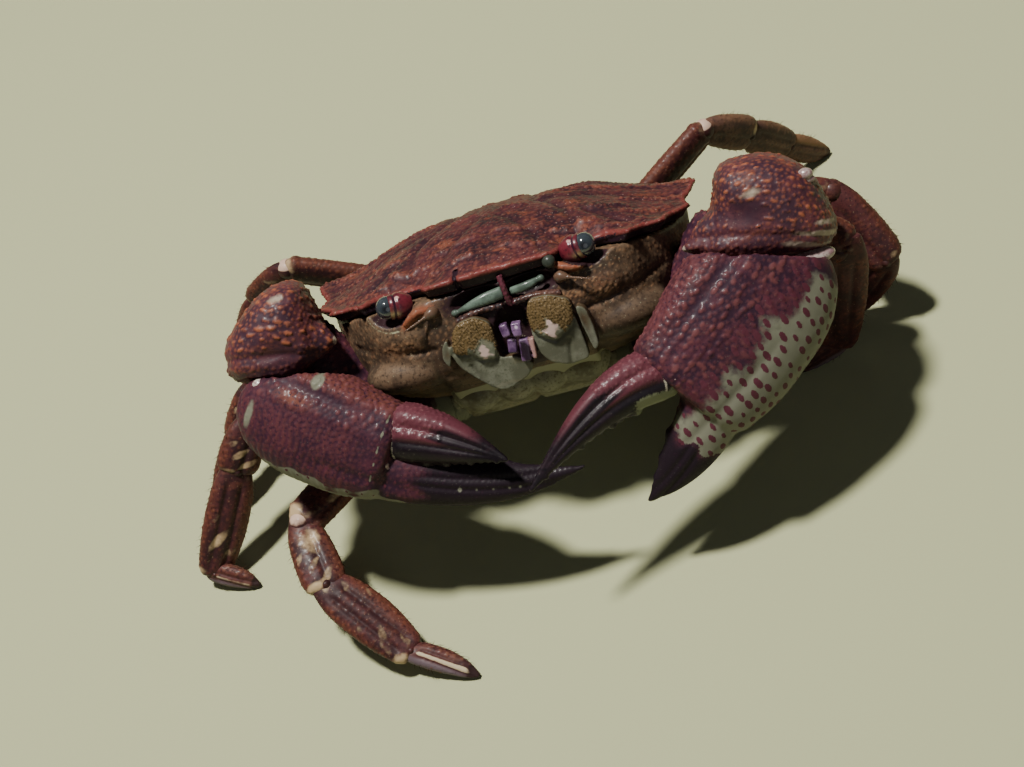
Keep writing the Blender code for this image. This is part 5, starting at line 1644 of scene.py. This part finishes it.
def segmentForm(part, start, end, across, wide, deep):
    rows = segmentShapes[part]
    shape = softRows(rows)
    sag = across * legWork["sag"].get(part, 0.0)
    path, halves = [], []
    for share in np.linspace(rows[0][0], rows[-1][0], legWork["steps"]):
        path.append(start.lerp(end, share) + sag * math.sin(math.pi * min(max(share, 0), 1)))
        thin = float(shape(share))
        halves.append((wide / 2 * thin, deep / 2 * blend(thin, 1, 0.3 if thin > 0.6 else 0.0)))
    bm = bmesh.new()
    sweep(bm, tubeStations(path, across, halves), 28, 2.3)
    form = fuse(bm, legWork["voxel"], 2)
    form["points"][:, 2] = np.maximum(form["points"][:, 2], legWork["floor"])
    return form


def foldSegment(form, part, t, a, flatSide):  # furrows along the flat sides, and the thigh's end rim
    if part in legWork["grooves"]:
        inside = flatSide * softStep(0.05, 0.2, t) * softStep(1.0, 0.85, t)
        groove = ridge(a, 0.32, 0.13) + ridge(a, -0.32, 0.13)
        height = -legWork["grooves"][part] * groove * inside
        mark(form, "shade", 0.7 * groove * inside)
    elif part == "carpus":
        height = -0.4 * ridge(a, 0.15, 0.16) * flatSide * softStep(0.1, 0.3, t)
    else:
        height = -0.25 * ridge(a, 0.55, 0.14) * flatSide * softStep(0.3, 0.5, t) + 0.3 * ridge(t, 0.965, 0.02)
    lift(form, height)
    storeForm(form)


def colourToe(form, key, t, a):
    stripe = ridge(a, -0.02, 0.22) * softStep(0.95, 0.75, t) * softStep(0.0, 0.15, t)
    mark(form, "pale", legWork["tipStripe"].get(key, 0.25) * stripe)
    mark(form, "rim", softStep(-0.25, -0.55, a))
    mark(form, "spot", (0.4 if key == "5_l" else 1.0) * softStep(0.72, 0.95, t))


def colourSegment(form, key, part, t, a, flatSide):
    number, letter = key.split("_")
    flat = np.stack([t, a], axis=1)
    markSpots(form, flat, [("pale", 0.65 if key == "2_r" else 0.45, (0.99, -0.55), (0.10, 0.6))])
    wave = np.sin(13 * t + 2.2 * a + int(number)) * np.cos(4.1 * a + 6 * t)
    mark(form, "pale", (0.42 if letter == "r" else 0.30) * softStep(-0.4, 0.8, wave) * flatSide)
    mark(form, "pale", 0.25 * ridge(a, 0.15, 0.25) * flatSide)
    if key == "2_r" and part == "carpus":  # white blotch below the knee
        markSpots(form, flat, [("pale", 0.58, (0.3, 0.1), (0.3, 0.8))])
    mark(form, "warmth", 0.5 * softStep(0.3, 0.7, a) * softStep(0.0, 0.3, t))
    mark(form, "rim", 0.5 * softStep(0.6, 0.95, np.abs(a)))
    if part == "merus":
        mark(form, "pale", 0.8 * softStep(0.30, 0.12, t))


def makeSegment(key, part, start, end, across, size):  # says where its bristles stand
    number, letter = key.split("_")
    toe = part == "dactyl"
    along = (end - start).normalized()
    wide, deep = (value * legWork["slim"] for value in size)
    form = segmentForm(part, start, end, across, wide, deep)
    t, a = measured(form, start, along, across)
    t, a = t / (end - start).length, a / (wide / 2)  # 0 to 1 down the segment, -1 to 1 across it
    flatSide = softStep(0.5, 0.9, np.abs(form["ways"] @ np.array(along.cross(across).normalized())))
    foldSegment(form, part, t, a, flatSide)
    seed = 100 * int(number) + (50 if letter == "l" else 0) + list(segmentShapes).index(part) * 5
    grains(form, legWork["edgeGrain"], (np.abs(a) > 0.72) & (t > 0.2), seed, "grain")
    grains(form, legWork["fineGrain"], t > 0.15, seed + 2, "fine")
    if toe:
        colourToe(form, key, t, a)
    else:
        colourSegment(form, key, part, t, a, flatSide)
    slot = "toe" if toe else "leg"
    look = "paddle" if key == "5_l" and part != "merus" else slot
    node = f"leg{number}_{letter}_{part}"
    finishForm(f"{node}Shell", form, look, [node])
    if part == "merus":
        return []
    edge = (np.abs(a) > 0.80) & (t > 0.1) & (t < 0.97)
    gap = legWork["hairGap"] * (0.55 if toe else 1.0)
    return [(Vector(form["points"][index]), Vector(form["ways"][index]) * 0.9 + along * 0.9)
            for index in spread(form, gap, edge, seed + 4)]


def makeLegJoints(key, joints, plane, size):  # a ball in each joint, with a small knob on either side; near the knee its upward faces are painted pale, the membrane's colour plus a painted highlight
    bm = bmesh.new()
    for index, part in ((1, "carpus"), (2, "propodus"), (3, "dactyl")):
        wide, deep = size[part]
        way = joints[index + 1] - joints[index - 1]
        turn = way.to_track_quat("Z", "Y").to_matrix().to_4x4()
        radius = wide * 0.26 if index == 1 else min(wide * 0.26, deep * 0.45)
        ball(bm, joints[index], (radius, radius, radius), turn, 22)
        for side in (1, -1):
            ball(bm, joints[index] + plane.normalized() * side * deep * 0.36, (0.8, 0.8, 0.8), segments=14)
    form = fuse(bm, legWork["jointVoxel"], 3)
    form["points"][:, 2] = np.maximum(form["points"][:, 2], legWork["jointFloor"])
    bright = legWork["jointPaleAndHighlight"].get(key, 0.2)
    knee = np.linalg.norm(form["points"] - np.array(joints[1]), axis=1)
    # pale where the knee faces up: the membrane's own pale colour plus a painted highlight on its top
    mark(form, "pale", bright * softStep(0.2, 0.9, form["ways"][:, 2]) * softStep(7.0, 4.0, knee))
    finishForm(f"legJoints_{key}", form, "joint")


def makeLeg(key):
    number, letter = key.split("_")
    x, y, z = hips[int(number)]
    joints = [onBody(sides[letter] * x, y, z)] + [overFloor(*point) for point in legs[key]]
    plane = (joints[1] - joints[0]).cross(joints[3] - joints[1])
    size = legSizes[int(number)]
    roots = []
    for index, part in enumerate(segmentShapes):
        start, end = joints[index], joints[index + 1]
        across = plane.cross((end - start).normalized()).normalized()
        roots += makeSegment(key, part, start, end, across, size[part])
    makeLegJoints(key, joints, plane, size)
    return roots


bristleRoots = []
for key in legs:
    bristleRoots += makeLeg(key)
plantTufts("legBristles", bristleRoots, legWork["hair"], "bristle", 81)
print("legs made")


# Floor and light

studio = {
    "floorHalf": 2.0, "floor": (0.395, 0.410, 0.235), "floorRough": 0.9, "world": (0.86, 0.88, 0.90),
    "worldShare": 0.045,
    "lamps": {  # the way to each lamp, its distance, size, watts and tint
        "overhead": ((-0.17, 0.06, 0.98), 1.0, 0.10, 18.0, (1.0, 0.98, 0.92)),
        "front": ((0.25, -0.85, 0.5), 1.1, 0.8, 0.9, (0.94, 0.97, 1.0)),
        "back": ((-0.6, 0.7, 0.6), 1.1, 0.6, 0.2, (1.0, 0.97, 0.92)),
    },
}


def makeStage():
    mesh = bpy.data.meshes.new("floor")
    bm = bmesh.new()
    bmesh.ops.create_grid(bm, x_segments=1, y_segments=1, size=studio["floorHalf"])
    bm.to_mesh(mesh)
    bm.free()
    floor = bpy.data.objects.new("floor", mesh)
    made = bpy.data.materials.new("floorPale")
    made.use_nodes = True
    shader = made.node_tree.nodes["Principled BSDF"]
    shader.inputs["Base Color"].default_value = (*studio["floor"], 1)
    shader.inputs["Roughness"].default_value = studio["floorRough"]
    mesh.materials.append(made)
    bpy.context.scene.collection.objects.link(floor)


def makeLight(name, way, distance, size, power, tint):
    lamp = bpy.data.lights.new(name, "AREA")
    lamp.shape = "DISK"
    lamp.size = size
    lamp.energy = power
    lamp.color = tint
    holder = bpy.data.objects.new(name, lamp)
    way = Vector(way).normalized()
    holder.location = way * distance
    holder.rotation_euler = way.to_track_quat("Z", "Y").to_euler()
    bpy.context.scene.collection.objects.link(holder)


def makeWorld():
    world = bpy.data.worlds.new("studio")
    world.use_nodes = True
    air = world.node_tree.nodes["Background"]
    air.inputs["Color"].default_value = (*studio["world"], 1)
    air.inputs["Strength"].default_value = studio["worldShare"]
    bpy.context.scene.world = world


makeStage()
for name, values in studio["lamps"].items():
    makeLight(name, *values)
makeWorld()
print("stage and light made")
